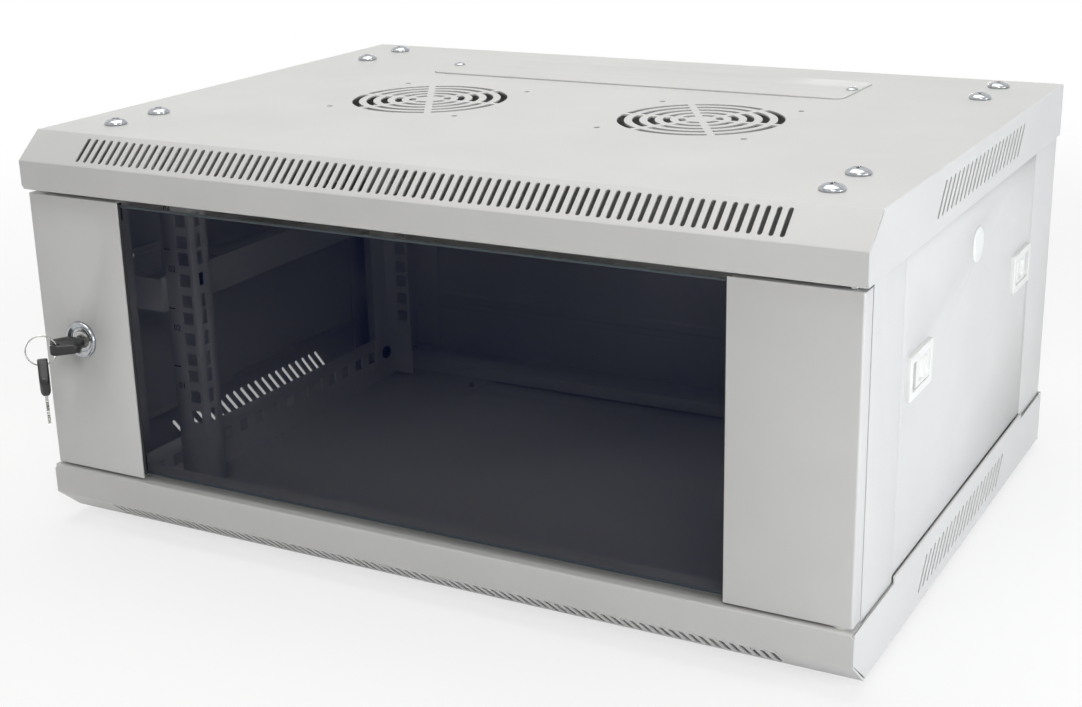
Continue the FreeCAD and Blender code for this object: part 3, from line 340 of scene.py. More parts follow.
def roundEdges(piece, width, limit):
    bevel = piece.modifiers.new("edgeRounding", "BEVEL")
    bevel.width = width
    bevel.segments = sheetEdges["segments"]
    bevel.limit_method = "ANGLE"
    bevel.angle_limit = limit
    bevel.harden_normals = True


def roundedCopy(node, rounding=sheetEdges["rounding"]):
    mesh = frame["nodes"][node].data.copy()
    mesh.materials.clear()
    shape = bmesh.new()
    shape.from_mesh(mesh)
    bmesh.ops.remove_doubles(shape, verts=shape.verts, dist=0.004 * mm)
    bmesh.ops.dissolve_limit(shape, angle_limit=0.002, verts=shape.verts, edges=shape.edges)
    for face in shape.faces:
        face.smooth = True
        face.material_index = 0
    shape.to_mesh(mesh)
    shape.free()
    roundEdges(finishPiece(node + "_sheet", mesh, [node]), rounding, sheetEdges["limit"])


sheetNodes = ["top_cable_plate", "bottom_cable_plate", "rear_panel", "rear_sill", "left_door_stile",
              "right_door_stile"]
for side in ("left", "right"):
    sheetNodes += [side + "_" + part for part in ("front_post", "rear_post", "lower_beam", "upper_beam", "mid_beam",
                                                  "side_panel", "front_rail", "rear_rail")]
for node in sheetNodes:
    roundedCopy(node)
for node in ("lock_nut", "lock_cam", "cam_screw", "glass_clips", "lock_plug"):
    roundedCopy(node, sheetEdges["smallRounding"])
print("folded sheets dressed:", len(sheetNodes))

# The top and bottom covers, bent from one blank each: deck, slanted face, lip and its ledge, rear wall and two
# skirts. Every fold is round, and the skirts stop short of the front and rear, which leaves the seams and the small
# relief openings at the corners. Distances start at the deck, as if it were at height 0.
cover = {
    "sheet": 1.2 * mm, "foldRadius": 1.4 * mm, "foldSteps": 5, "seam": 1.5 * mm, "rim": 0.22 * mm, "rimLimit": 0.75,
    "wallRise": 0.35 * mm, "topLip": 38 * mm, "bottomLip": 39 * mm,
    "slantRun": 21 * mm, "slantDrop": 18 * mm, "ledgeDepth": 32 * mm, "ledgeNotch": 17.4 * mm,
    "ledgeReach": 270 * mm, "ledgeInset": 1.4 * mm, "pinHole": 3.1 * mm,
    "slotLength": 20 * mm, "slotWidth": 3 * mm, "slotPitch": 6.5 * mm, "slotCount": 78,
    "sideSlotLength": 26 * mm, "sideSlotPitch": 9.5 * mm, "sideSlotCount": 21, "sideSlotLean": 39,
    "sideSlotDrop": 19 * mm, "sideSlotY": -219 * mm,
    "fanSpacing": 216 * mm, "fanY": -227 * mm, "fanRadius": 57 * mm, "ringPitch": 10.4 * mm, "ringSlot": 5 * mm,
    "rings": 5, "spokes": 6, "spokeWidth": 5 * mm, "fanScrewSquare": 105 * mm, "fanScrewHole": 4.5 * mm,
    "entryWidth": 320 * mm, "entryDepth": 50 * mm, "entryY": -86 * mm,
    "stripRaise": 4 * mm, "stripFront": -375 * mm, "stripRear": -65 * mm,
}
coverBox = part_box("top_cover")
coverHalf, coverFront = coverBox[1].x, coverBox[0].y


# A flat panel: its outline and holes are filled in its own two directions, then set in space.
def flatPanel(outline, holes, origin, across, along):
    loops = [np.array(outline, float)] + [np.array(hole, float) for hole in holes]
    triangles = tessellate_polygon([loop.tolist() for loop in loops])
    flat = np.vstack(loops)
    return np.array(origin) + flat[:, :1] * np.array(across) + flat[:, 1:] * np.array(along), np.array(triangles)


# A fold: the curve (1-t)^2 A + 2t(1-t) corner + t^2 B carried along the edge, from one panel's edge to the other's.
def foldStrip(first, corner, second):
    t = np.linspace(0, 1, cover["foldSteps"] + 1)[:, None, None]
    first, corner, second = (np.array(edge, float)[None] for edge in (first, corner, second))
    points = (1 - t) ** 2 * first + 2 * t * (1 - t) * corner + t ** 2 * second
    return points, gridFaces(len(t), 2, wrapColumns=False)


def slotRow(count, pitch, length, width, lean, middle):
    bar = barOutline(length, width, width * 0.48, 4)
    turn = np.radians(lean)
    leaning = np.stack([bar[:, 0] * np.sin(turn) + bar[:, 1] * np.cos(turn),
                        bar[:, 0] * np.cos(turn) - bar[:, 1] * np.sin(turn)], 1)
    shifts = np.stack([(np.arange(count) - (count - 1) / 2) * pitch, np.zeros(count)], 1)
    return leaning[None] + shifts[:, None] + np.array(middle)


# A fan grille: straight bars bent round the fan's middle, angle = along / ring radius, between the spokes.
def fanHoles(x):
    middle = np.array((x, cover["fanY"]))
    holes = []
    for ring in range(cover["rings"]):
        radius = cover["fanRadius"] - ring * cover["ringPitch"] - cover["ringSlot"] / 2
        length = 2 * np.pi * radius / cover["spokes"] - cover["spokeWidth"]
        bar = barOutline(length, cover["ringSlot"], 0.6 * mm, 2, max(4, int(length / (3 * mm))))
        for spoke in range(cover["spokes"]):
            angle = (spoke + 0.5) * 2 * np.pi / cover["spokes"] + bar[:, 0] / radius
            far = radius - bar[:, 1]
            holes.append(np.stack([far * np.cos(angle), far * np.sin(angle)], 1) + middle)
    turn = np.linspace(0, 2 * np.pi, 16, endpoint=False)
    screw = cover["fanScrewHole"] / 2 * np.stack([np.cos(turn), np.sin(turn)], 1)
    reach = cover["fanScrewSquare"] / 2
    return holes + [screw + middle + (dx, dy) for dx in (-reach, reach) for dy in (-reach, reach)]


# the panels and folds of one cover, as (points, faces), its deck at height 0 and all the rest below
def coverShells(lip, upward, fans):
    half, front, radius, seam = coverHalf, coverFront, cover["foldRadius"], cover["seam"]
    run, drop = cover["slantRun"], cover["slantDrop"]
    slope = np.hypot(run, drop)
    tilt = np.arctan2(drop, run)
    bend, knee = radius * np.tan(tilt / 2), radius * np.tan((np.pi / 2 - tilt) / 2)  # tangent lengths of the folds
    skirtFront = front + run + seam / np.sin(tilt)
    inset = cover["ledgeInset"]
    entryWide, entryDeep = cover["entryWidth"] / 2, cover["entryDepth"] / 2
    entry = np.array(((-1, -1), (1, -1), (1, 1), (-1, 1))) * (entryWide, entryDeep) + (0, cover["entryY"])
    deckHoles = [entry] + [hole for x in fans for hole in fanHoles(x)]
    side = half - radius
    deckEdge = front + run + bend
    deck = [(half, deckEdge), (side, skirtFront), (side, -seam), (half, -radius), (-half, -radius), (-side, -seam),
            (-side, skirtFront), (-half, deckEdge)]
    shells = [flatPanel(deck, deckHoles, (0, 0, 0), (1, 0, 0), (0, 1, 0))]

    down = np.array((0, -run, -drop)) / slope
    fold = np.array((0, front + run, 0))
    slots = slotRow(cover["slotCount"], cover["slotPitch"], cover["slotLength"], cover["slotWidth"], 0,
                    (0, slope / 2))
    slant = [(-half, bend), (half, bend), (half, slope - knee), (-half, slope - knee)]
    shells.append(flatPanel(slant, slots, fold, (1, 0, 0), down))
    wide = np.array(((-half, 0, 0), (half, 0, 0)))
    shells.append(foldStrip(wide + (0, deckEdge, 0), wide + fold, wide + fold + down * bend))

    lipTop, lipEdge = -drop - knee, -lip + radius
    lipFace = [(-half, lipTop), (half, lipTop), (half, lipEdge + inset), (half - inset, lipEdge),
               (inset - half, lipEdge), (-half, lipEdge + inset)]
    shells.append(flatPanel(lipFace, [], (0, front, 0), (1, 0, 0), (0, 0, 1)))
    kneeLine = fold + down * slope
    shells.append(foldStrip(wide + kneeLine - down * knee, wide + kneeLine, wide + (0, front, lipTop)))

    reach, notch = cover["ledgeReach"], front + cover["ledgeNotch"]
    turn = np.linspace(0, 2 * np.pi, 24, endpoint=False)
    pin = cover["pinHole"] * np.stack([np.cos(turn), np.sin(turn)], 1) + tuple(middleOf("top_hinge_pin"))[:2]
    rear = front + cover["ledgeDepth"]
    ledge = [(half - inset, front + radius), (half - inset, notch), (reach, notch), (reach, rear), (-reach, rear),
             (-reach, notch), (inset - half, notch), (inset - half, front + radius)]
    shells.append(flatPanel(ledge, [pin], (0, 0, -lip), (1, 0, 0), (0, 1, 0)))
    narrow = np.array(((inset - half, 0, 0), (half - inset, 0, 0)))
    shells.append(foldStrip(narrow + (0, front, lipEdge), narrow + (0, front, -lip),
                            narrow + (0, front + radius, -lip)))

    wallEdge = -lip - cover["wallRise"]
    shells.append(flatPanel([(-half, -radius), (half, -radius), (half, wallEdge), (-half, wallEdge)], [], (0, 0, 0),
                            (1, 0, 0), (0, 0, 1)))
    shells.append(foldStrip(wide + (0, -radius, 0), wide, wide + (0, 0, -radius)))

    skirt = [(skirtFront, -radius), (-seam, -radius), (-seam, -lip)]
    if not upward:
        raised = -lip - cover["stripRaise"]
        skirt += [(cover["stripRear"], -lip), (cover["stripRear"], raised), (cover["stripFront"], raised),
                  (cover["stripFront"], -lip)]
    skirt += [(front + seam, -lip), (front + seam, (seam + front - skirtFront) * drop / run)]
    for way in (1, -1):
        lean = way * cover["sideSlotLean"] * (1 if upward else -1)
        slots = slotRow(cover["sideSlotCount"], cover["sideSlotPitch"], cover["sideSlotLength"], cover["slotWidth"],
                        lean, (cover["sideSlotY"], -cover["sideSlotDrop"]))
        shells.append(flatPanel(skirt, slots, (way * half, 0, 0), (0, 1, 0), (0, 0, 1)))
        long = np.array(((0, skirtFront, 0), (0, -seam, 0)))
        shells.append(foldStrip(long + (way * side, 0, 0), long + (way * half, 0, 0),
                                long + (way * half, 0, -radius)))
    return shells


# a cover's panels welded into one surface that faces outwards, given the sheet's thickness
def foldedCover(node, lip, upward, fans):
    level = coverBox[1].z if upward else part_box(node)[0].z
    flip = 1 if upward else -1
    shells = [(points * (1, 1, flip) + (0, 0, level), faces) for points, faces in coverShells(lip, upward, fans)]
    mesh = surfaceMesh(node + "_folded", shells, close=False)
    shape = bmesh.new()
    shape.from_mesh(mesh)
    bmesh.ops.recalc_face_normals(shape, faces=shape.faces)
    deckFace = max(shape.faces, key=lambda face: face.calc_area())
    if deckFace.normal.z * flip < 0:
        bmesh.ops.reverse_faces(shape, faces=shape.faces)
    for face in shape.faces:
        face.smooth = True
    for edge in shape.edges:
        edge.smooth = True
    shape.to_mesh(mesh)
    shape.free()
    piece = finishPiece(node + "_folded", mesh, [node])
    wall = piece.modifiers.new("sheetThickness", "SOLIDIFY")
    wall.thickness, wall.offset, wall.use_even_offset = cover["sheet"], -1, True
    roundEdges(piece, cover["rim"], cover["rimLimit"])


fanPlaces = (-cover["fanSpacing"] / 2, cover["fanSpacing"] / 2)
foldedCover("top_cover", cover["topLip"], True, fanPlaces)
foldedCover("bottom_cover", cover["bottomLip"], False, ())
print("covers folded")

# Domed bolts with a cross recess and a threaded shank. The head is a square grid stretched over a disc,
# x = u sqrt(1 - v^2/2) and y = v sqrt(1 - u^2/2), at height rim + dome sqrt(1 - r^2), less the recess, whose arms
# stay parallel to the grid.
bolts = {
    "cover": {"radius": 8 * mm, "height": 4.5 * mm, "rim": 0.9 * mm, "shank": 3 * mm, "length": 10 * mm},
    "entry": {"radius": 4.5 * mm, "height": 2 * mm, "rim": 0.4 * mm, "shank": 2 * mm, "length": 6 * mm},
    "rail": {"radius": 5.5 * mm, "height": 4 * mm, "rim": 0.8 * mm, "shank": 3 * mm, "length": 8 * mm},
    "armWidth": 0.11, "armLength": 0.42, "taper": 0.05, "recess": 0.42,
    "threadPitch": 1 * mm, "threadDepth": 0.3 * mm, "undercut": 0.955, "markedReach": 0.6, "markedDepth": 0.12,
    "lines": (0, 0.04, 0.08, 0.11, 0.14, 0.17, 0.22, 0.3, 0.36, 0.4, 0.44, 0.48, 0.54, 0.62, 0.7, 0.78, 0.85, 0.91,
              0.96, 0.985, 1),
}


def boltShells(kit, base, direction):
    lines = np.array(bolts["lines"])
    lines = np.concatenate([-lines[:0:-1], lines])
    u, v = np.meshgrid(lines, lines, indexing="ij")
    x, y = u * np.sqrt(1 - v ** 2 / 2), v * np.sqrt(1 - u ** 2 / 2)
    dome = np.sqrt(np.clip(1 - x ** 2 - y ** 2, 0, 1))
    wide, long, taper = bolts["armWidth"], bolts["armLength"], bolts["taper"]
    arms = np.minimum(np.maximum(abs(x) - wide, abs(y) - long), np.maximum(abs(y) - wide, abs(x) - long))
    depth = bolts["recess"] * (1 - softStep(arms, -taper, taper / 2))
    height = kit["rim"] + (kit["height"] - kit["rim"]) * (dome - depth)
    head = np.stack([x * kit["radius"], y * kit["radius"], height], axis=-1)
    head = np.pad(head, ((1, 1), (1, 1), (0, 0)), mode="edge")
    for skirt in (head[0], head[-1], head[:, 0], head[:, -1]):
        skirt[:, 2] = 0
    outer = np.hypot(head[..., 0], head[..., 1]) > kit["radius"] * 0.999
    head[..., :2] *= np.where(outer & (head[..., 2] == 0), bolts["undercut"], 1)[..., None]
    axes = axesAlong(direction)
    count = len(lines) + 2
    turns = np.arange(0, kit["length"], bolts["threadPitch"] / 4)
    ridge = kit["shank"] - bolts["threadDepth"] * abs((turns / bolts["threadPitch"]) % 1 - 0.5) * 2
    thread = np.vstack([[(0, -kit["length"])], np.stack([ridge[::-1], -turns[::-1] - 0.05 * mm], 1), [(0, 0)]])
    return [(placed(head, base, axes), gridFaces(count, count, wrapColumns=False)),
            turnedShell(thread, base, direction, 20)]


# all the bolts of a node in one mesh, with painted shade (a darker finish) in their recesses
def boltPiece(node, kind, places):
    kit = bolts[kind]
    shells = [shell for base, direction in places for shell in boltShells(kit, base, direction)]
    mesh = surfaceMesh(node + "_turned", shells, 50)
    centres = faceVectors(mesh, "center")
    # faces deep in each cross recess, which get the painted shade
    sunk = np.zeros(len(centres), bool)
    rise = kit["height"] - kit["rim"]
    for base, direction in places:
        x, y, z = ((centres - np.array(base)) @ axesAlong(direction)).T
        reach = np.hypot(x, y) / kit["radius"]
        dome = kit["rim"] + rise * np.sqrt(np.clip(1 - reach ** 2, 0, 1))
        sunk |= (reach < bolts["markedReach"]) & (z > 0) & (z < dome - bolts["markedDepth"] * rise)
    twoFinishes(mesh, finishes[slotOf[node]], recess, sunk)
    finishPiece(node + "_turned", mesh, [node])


boltX, boltRows = 260 * mm, (-395 * mm, -350 * mm, -83 * mm, -32 * mm)
deckTop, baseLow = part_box("top_cover")[1].z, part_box("bottom_cover")[0].z
boltPiece("top_bolts", "cover", [((x, y, deckTop), (0, 0, 1)) for x in (-boltX, boltX) for y in boltRows])
boltPiece("bottom_bolts", "cover", [((x, y, baseLow), (0, 0, -1)) for x in (-boltX, boltX) for y in boltRows])
plateTop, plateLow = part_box("top_cable_plate")[1].z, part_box("bottom_cable_plate")[0].z
screwX, screwY = 167 * mm, -86 * mm
boltPiece("cable_plate_screws", "entry", [((x, screwY, z), (0, 0, way)) for x in (-screwX, screwX)
                                          for z, way in ((plateTop, 1), (plateLow, -1))])
railBolts = {"x": 248.5 * mm, "rows": ((-335, 25), (-335, 154.6), (-335, 255), (-96, 25), (-96, 255))}
middle = 140 * mm  # the cabinet's mid height above its underside
boltPiece("rail_bolts", "rail", [((side * railBolts["x"], y * mm, z * mm - middle), (-side, 0, 0))
                                 for side in (1, -1) for y, z in railBolts["rows"]])
print("bolts turned")

# Slide latches: a bezel whose section runs round its window, and a slider with a finger recess and one rib.
latch = {
    "length": 45 * mm, "height": 28 * mm, "corner": 1.6 * mm, "skin": 298 * mm, "z": 24 * mm,
    "front": (-342.5 * mm, -1), "rear": (-97.5 * mm, 1),
    # (distance in from the outer edge, height off the panel)
    "bezel": ((2.3, -3), (2.3, 0), (0, 0), (0, 2.2), (0.12, 2.62), (0.42, 2.9), (0.9, 3), (4.2, 3), (4.75, 2.85),
              (5, 2.4), (5, -3)),
    "grip": (17.2 * mm, 9.2 * mm), "gripHeight": 17.4 * mm, "gripProud": 2.4 * mm, "gripBack": -3.3 * mm,
    "dish": (2.5 * mm, 21.4 * mm), "dishDepth": 2.0 * mm, "dishHeight": 14 * mm, "dishCorner": 3.5 * mm,
    "dishSlope": 0.9 * mm, "rib": 7.2 * mm, "ribWidth": 1.6 * mm, "ribShare": 0.8, "edgeDrop": 0.35 * mm,
    "edgeRun": 0.5 * mm, "tongueEdge": 0.3 * mm,
    "tongue": 2.3 * mm, "tongueHeight": 14 * mm, "tongueReach": (-22.7 * mm, 17.2 * mm),
}


# A block whose front is a height over a flat grid, height = front - dish, its borders carried back to a flat back.
def sliderShell():
    length, tall = sum(latch["grip"]), latch["gripHeight"]
    along, up = np.meshgrid(np.linspace(0, length, 61), np.linspace(-tall / 2, tall / 2, 37), indexing="ij")
    start, end = latch["dish"]
    corner, slope = latch["dishCorner"], latch["dishSlope"]
    dx = np.maximum(abs(along - (start + end) / 2) - ((end - start) / 2 - corner), 0)
    dz = np.maximum(abs(up) - (latch["dishHeight"] / 2 - corner), 0)
    inside = 1 - softStep(np.hypot(dx, dz), corner - slope, corner)
    halfRib = latch["ribWidth"] / 2
    rib = 1 - softStep(abs(along - start - latch["rib"]), halfRib, halfRib + slope)
    border = np.minimum(np.minimum(along, length - along), tall / 2 - abs(up))
    height = (latch["gripProud"] - latch["dishDepth"] * inside * (1 - latch["ribShare"] * rib)
              - latch["edgeDrop"] * (1 - softStep(border, 0, latch["edgeRun"])))
    grid = np.pad(np.stack([along, up, height], axis=-1), ((1, 1), (1, 1), (0, 0)), mode="edge")
    grid[[0, -1], :, 2] = latch["gripBack"]
    grid[:, [0, -1], 2] = latch["gripBack"]
    return grid, gridFaces(grid.shape[0], grid.shape[1], wrapColumns=False)


for side, sign in (("left", -1), ("right", 1)):
    for end in ("front", "rear"):
        centre, way = latch[end]
        # local length, height and depth become y, z and x
        axes = np.array(((0, 0, sign), (1, 0, 0), (0, 1, 0)))
        seat = (sign * latch["skin"], centre, latch["z"])
        section = np.array(latch["bezel"]) * mm
        rings, faces = ringShell(latch["length"], latch["height"], latch["corner"], section, wrap=True)
        name = side + "_" + end + "_latch_bezel"
        mesh = surfaceMesh(name, [(placed(rings, seat, axes), faces)], 40, close=False)
        finishPiece(name + "_moulded", mesh, [name])

        grip, gripFaces = sliderShell()
        back = latch["grip"][0]
        grip = grip * (way, 1, 1) + (-way * back, 0, 0)
        reachOut, reachBack = latch["tongueReach"]
        edge, thick = latch["tongueEdge"], latch["tongue"]
        section = ((edge, 0), (0, edge), (0, thick - edge), (edge, thick))
        tongue, tongueFaces = ringShell(reachBack - reachOut, latch["tongueHeight"], 1 * mm, section)
        tongue = tongue + (-(reachOut + reachBack) / 2 * way, 0, latch["gripBack"] - thick)
        name = side + "_" + end + "_latch_slider"
        shells = [(placed(grip, seat, axes), gripFaces), (placed(tongue, seat, axes), tongueFaces)]
        finishPiece(name + "_moulded", surfaceMesh(name, shells, 40), [name])
print("latches moulded")

# The blanking plug: a shallow dome with a rolled rim over a hollow stem.
plug = {
    "y": -217 * mm, "z": 70 * mm,
    "profile": ((0, 2), (5, 1.92), (9, 1.6), (11, 1.1), (11.8, 0.6), (12, 0.1), (11.9, 0), (10, 0), (10, -5.2),
                (9.4, -6), (8.4, -6), (8.4, -0.6), (0, -0.6)),
}
for side, sign in (("left", -1), ("right", 1)):
    name = side + "_blanking_plug"
    profile = softened(np.array(plug["profile"]) * mm, 0.35 * mm)
    shell = turnedShell(profile, (sign * latch["skin"], plug["y"], plug["z"]), (sign, 0, 0), 64)
    finishPiece(name + "_moulded", surfaceMesh(name, [shell], 40), [name])

# Hinge pins with a turned collar, and the nylon washer under the door.
hinge = {
    "pin": ((0, -8), (2.4, -8), (3, -7.4), (3, -2), (4.5, -2), (4.5, 0), (3, 0), (3, 18.8), (2, 20), (0, 20)),
    "washer": ((3.2, 0.2), (3.4, 0), (5.8, 0), (6, 0.2), (6, 1.5), (5.8, 1.7), (3.4, 1.7), (3.2, 1.5), (3.2, 0.2)),
}
for name, seatZ, way in (("top_hinge_pin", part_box("top_hinge_pin")[0].z + 8 * mm, 1),
                         ("bottom_hinge_pin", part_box("bottom_hinge_pin")[1].z - 8 * mm, -1)):
    pinX, pinY, _ = middleOf(name)
    shell = turnedShell(softened(np.array(hinge["pin"]) * mm, 0.2 * mm), (pinX, pinY, seatZ), (0, 0, way), 40)
    finishPiece(name + "_turned", surfaceMesh(name, [shell], 40), [name])
washerX, washerY, _ = middleOf("hinge_washer")
shell = turnedShell(np.array(hinge["washer"]) * mm, (washerX, washerY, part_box("hinge_washer")[0].z), (0, 0, 1), 48)
finishPiece("hinge_washer_moulded", surfaceMesh("hinge_washer", [shell], 40, close=False), ["hinge_washer"])
print("plugs and hinges turned")

# The lock: a pressed chrome rosette with a broad bright cone round a sunk middle, and a threaded barrel behind.
lock = {
    "x": -263 * mm, "z": -2 * mm, "face": -447 * mm,
    # (radius, height off the door's face)
    "rosette": ((6.1, -6), (6.1, 0.2), (6.4, 0.35), (8.1, 0.35), (8.5, 0.6), (8.7, 1.3), (10.9, 2.45), (11.7, 2.6),
                (12.5, 2.25), (13, 1.3), (13, 0.02), (9, 0)),
    "barrel": 9 * mm, "pitch": 1 * mm, "threadDepth": 0.35 * mm, "bore": 6.1 * mm,
}
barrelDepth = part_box("lock_housing")[1].y - lock["face"]
threads = np.arange(1.5 * mm, barrelDepth - 0.5 * mm, lock["pitch"] / 4)
barrelRadius = lock["barrel"] - lock["threadDepth"] * abs((threads / lock["pitch"]) % 1 - 0.5) * 2
barrelEnd = [(lock["barrel"] - 0.5 * mm, -barrelDepth), (lock["bore"], -barrelDepth), (lock["bore"], -6 * mm)]
profile = np.vstack([softened(np.array(lock["rosette"]) * mm, 0.3 * mm), np.stack([barrelRadius, -threads], 1),
                     barrelEnd])
shell = turnedShell(profile, (lock["x"], lock["face"], lock["z"]), (0, -1, 0), 96)
finishPiece("lock_rosette", surfaceMesh("lock_rosette", [shell], 40, close=False), ["lock_housing"])

# Keys. The head is a ring surface between its hole and its rounded outline: rows run from the hole's wall over
# the face, round the rim and back under, and a shallow thumb dish is pressed into both faces.
key = {
    "hole": 2.2 * mm, "thick": 7 * mm, "rim": 1.8 * mm, "corner": 1.6 * mm,
    "dish": 0.7 * mm, "dishMiddle": 8.5 * mm, "dishHalfWidth": 7.5 * mm, "dishHalfHeight": 5.5 * mm,
    "outline": ((2.5, -4.5), (12.5, 6), (12.5, 10), (6.25, 20.5), (-6.25, 20.5), (-12.5, 10), (-12.5, 6),
                (-2.5, -4.5)),
    "bladeWidth": 8 * mm, "bladeThick": 2 * mm, "bladeStart": 19.5 * mm, "bladeEnd": 42.5 * mm,
    "toothStart": 4 * mm, "toothRamp": 1 * mm,
    "toothPitch": 2.3 * mm, "toothDepth": 1.9 * mm, "groove": 0.45 * mm, "tip": 2.4 * mm,
}


def keyHead():
    corners = np.array(key["outline"]) * mm
    loop = np.vstack([corners, corners[:2]])
    outline = softened(loop, key["corner"], 5)[1:-1]
    steps = np.diff(np.vstack([outline, outline[:1]]), axis=0)
    along = np.concatenate([[0], np.cumsum(np.linalg.norm(steps, axis=1))])
    even = np.linspace(0, along[-1], 120, endpoint=False)
    rim = np.stack([np.interp(even, along, np.append(outline[:, axis], outline[0, axis])) for axis in (0, 1)], 1)
    bore = rim / np.linalg.norm(rim, axis=1)[:, None] * key["hole"]
    half, edge = key["thick"] / 2, key["rim"]
    # each row: how far from the hole to the rim, and how far below the face
    span = np.concatenate([[0, 0.02, 0.06], np.linspace(0.1, 0.8, 14), [0.86, 0.92, 0.96, 0.985, 1]])
    fall = np.concatenate([[0.6 * mm, 0.15 * mm, 0], np.zeros(14), np.array((0.1, 0.3, 0.6, 0.85, 1.15)) * edge])
    flat = bore[None] + (rim - bore)[None] * span[:, None, None]
    oval = np.hypot(flat[..., 0] / key["dishHalfWidth"], (flat[..., 1] - key["dishMiddle"]) / key["dishHalfHeight"])
    height = half - fall[:, None] - key["dish"] * (1 - softStep(oval, 0.55, 1.0))
    face = np.dstack([flat, height])
    return np.concatenate([face, face[::-1] * (1, 1, -1)])


# The blade: a grooved section carried along its length, its toothed edge x = width/2 - depth |sin| and its tip
# tapering.
def keyBlade():
    along = np.linspace(key["bladeStart"], key["bladeEnd"], 93)
    half, thin = key["bladeWidth"] / 2, key["bladeThick"] / 2
    firstTooth = key["bladeStart"] + key["toothStart"]
    toothed = softStep(along, firstTooth, firstTooth + key["toothRamp"])
    phase = (along - key["bladeStart"]) / key["toothPitch"]
    teeth = key["toothDepth"] * abs(np.sin(np.pi * phase)) * (0.55 + 0.45 * np.sin(2.4 * np.floor(phase) + 0.6) ** 2)
    tip = np.maximum(along - (key["bladeEnd"] - key["tip"]), 0)
    right = half - teeth * toothed - tip * 0.9
    left = -half + tip * 1.1
    # the section, once round: place across the blade and depth, both -1 to 1, with one groove in each face
    across = np.array((-1, -0.94, -0.35, -0.28, 0.05, 0.12, 0.6, 0.94, 1, 0.94, 0.6, 0.12, 0.05, -0.28, -0.35,
                       -0.94))
    cut = 1 - key["groove"] / thin
    deep = np.array((0, 1, 1, cut, cut, 1, 1, 1, 0, -1, -1, -1, -cut, -cut, -1, -1))
    x = left[:, None] + (across[None] + 1) / 2 * (right - left)[:, None]
    y = np.broadcast_to(along[:, None], x.shape)
    z = np.broadcast_to(deep[None] * thin, x.shape)
    return np.stack([x, y, z], axis=-1)


def keyPieces(name, hole, axes):
    head, blade = keyHead(), keyBlade()
    headShell = (placed(head, hole, axes), gridFaces(*head.shape[:2], wrapRows=True))
    finishPiece(name + "_head_moulded", surfaceMesh(name + "_head", [headShell], 40, close=False), [name + "_head"])
    bladeShell = (placed(blade, hole, axes), gridFaces(*blade.shape[:2]))
    finishPiece(name + "_blade_cut", surfaceMesh(name + "_blade", [bladeShell], 30), [name + "_blade"])


ring = {"radius": 10.5 * mm, "wire": 0.5 * mm, "spread": 0.15 * mm}
keyHole = np.array((lock["x"], lock["face"] - 24.5 * mm, lock["z"]))
keyPieces("key", keyHole, np.eye(3))
ringAxis, ringSide = np.array((1, -1, 0)) / np.sqrt(2), np.array((-1, -1, 0)) / np.sqrt(2)
ringMiddle = keyHole + ringSide * ring["radius"]
spareDown = np.array((0, 0, -1))
keyPieces("spare_key", ringMiddle + spareDown * ring["radius"],
          np.stack([ringAxis, spareDown, np.cross(ringAxis, spareDown)], axis=1))

# The wire ring: a small circle carried round a large one, its ends overlapping in a flat spiral of one turn and a
# bit.
turn = np.linspace(-0.18, 1.18, 150) * 2 * np.pi
around = np.linspace(0, 2 * np.pi, 14, endpoint=False)
reach = ring["radius"] + ring["wire"] * np.cos(around)[None]
shift = ring["spread"] * (softStep(turn, -1, 7) * 2 - 1)[:, None]
ringPoints = np.stack([reach * np.cos(turn)[:, None], reach * np.sin(turn)[:, None],
                       ring["wire"] * np.sin(around)[None] + shift], axis=-1)
shell = (placed(ringPoints, ringMiddle, axesAlong(ringAxis)), gridFaces(*ringPoints.shape[:2]))
finishPiece("key_ring_wire", surfaceMesh("key_ring", [shell], 40), ["key_ring"])
print("lock and keys made")

# The glass: a slab with ground bevels along its edges, its two faces polished.
glass = {"bevel": 1.0 * mm, "corner": 2.0 * mm, "facing": 0.9}
low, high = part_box("door_glass")
wide, thick, tall = high - low
bevel = glass["bevel"]
section = ((bevel, 0), (0, bevel), (0, thick - bevel), (bevel, thick))
rings, faces = ringShell(wide, tall, glass["corner"], section)
slabX, _, slabZ = middleOf("door_glass")
slab = placed(rings, (slabX, low.y, slabZ), np.array(((1, 0, 0), (0, 0, 1), (0, 1, 0))))
mesh = surfaceMesh("door_glass_slab", [(slab, faces)], 20)
isEdge = abs(faceVectors(mesh, "normal")[:, 1]) < glass["facing"]
twoFinishes(mesh, finishes["smoked_glass"], glassEdge, isEdge)
finishPiece("door_glass_slab", mesh, ["door_glass"])

# The door seals: a flat strip with a round lip, carried up the stile's inner edge.
for side in ("left", "right"):
    name = side + "_door_gasket"
    low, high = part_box(name)
    wide, deep, _ = high - low
    stripX, stripY, _ = middleOf(name)
    outline = barOutline(wide, deep, deep * 0.48, 6) + (stripX, stripY)
    rows = np.array([np.column_stack([outline, np.full(len(outline), z)]) for z in (low.z, high.z)])
    finishPiece(name + "_extruded", surfaceMesh(name, [(rows, gridFaces(2, len(outline)))], 40), [name])
print("glass and seals made")

# Plain rack unit numbers and marks, printed on the front rails beside the holes.
marks = {
    "height": 4.6 * mm, "film": 0.03 * mm, "markWidth": 6 * mm, "markHeight": 0.8 * mm, "face": -370 * mm,
    "numberX": 243.6 * mm, "edgeX": 249.6 * mm, "base": 52.4 * mm, "unit": 44.45 * mm, "units": 4,
    "fontScale": 1.4, "numberRise": 0.667, "corner": 0.1 * mm, "axes": np.array(((1, 0, 0), (0, 0, -1), (0, 1, 0))),
}


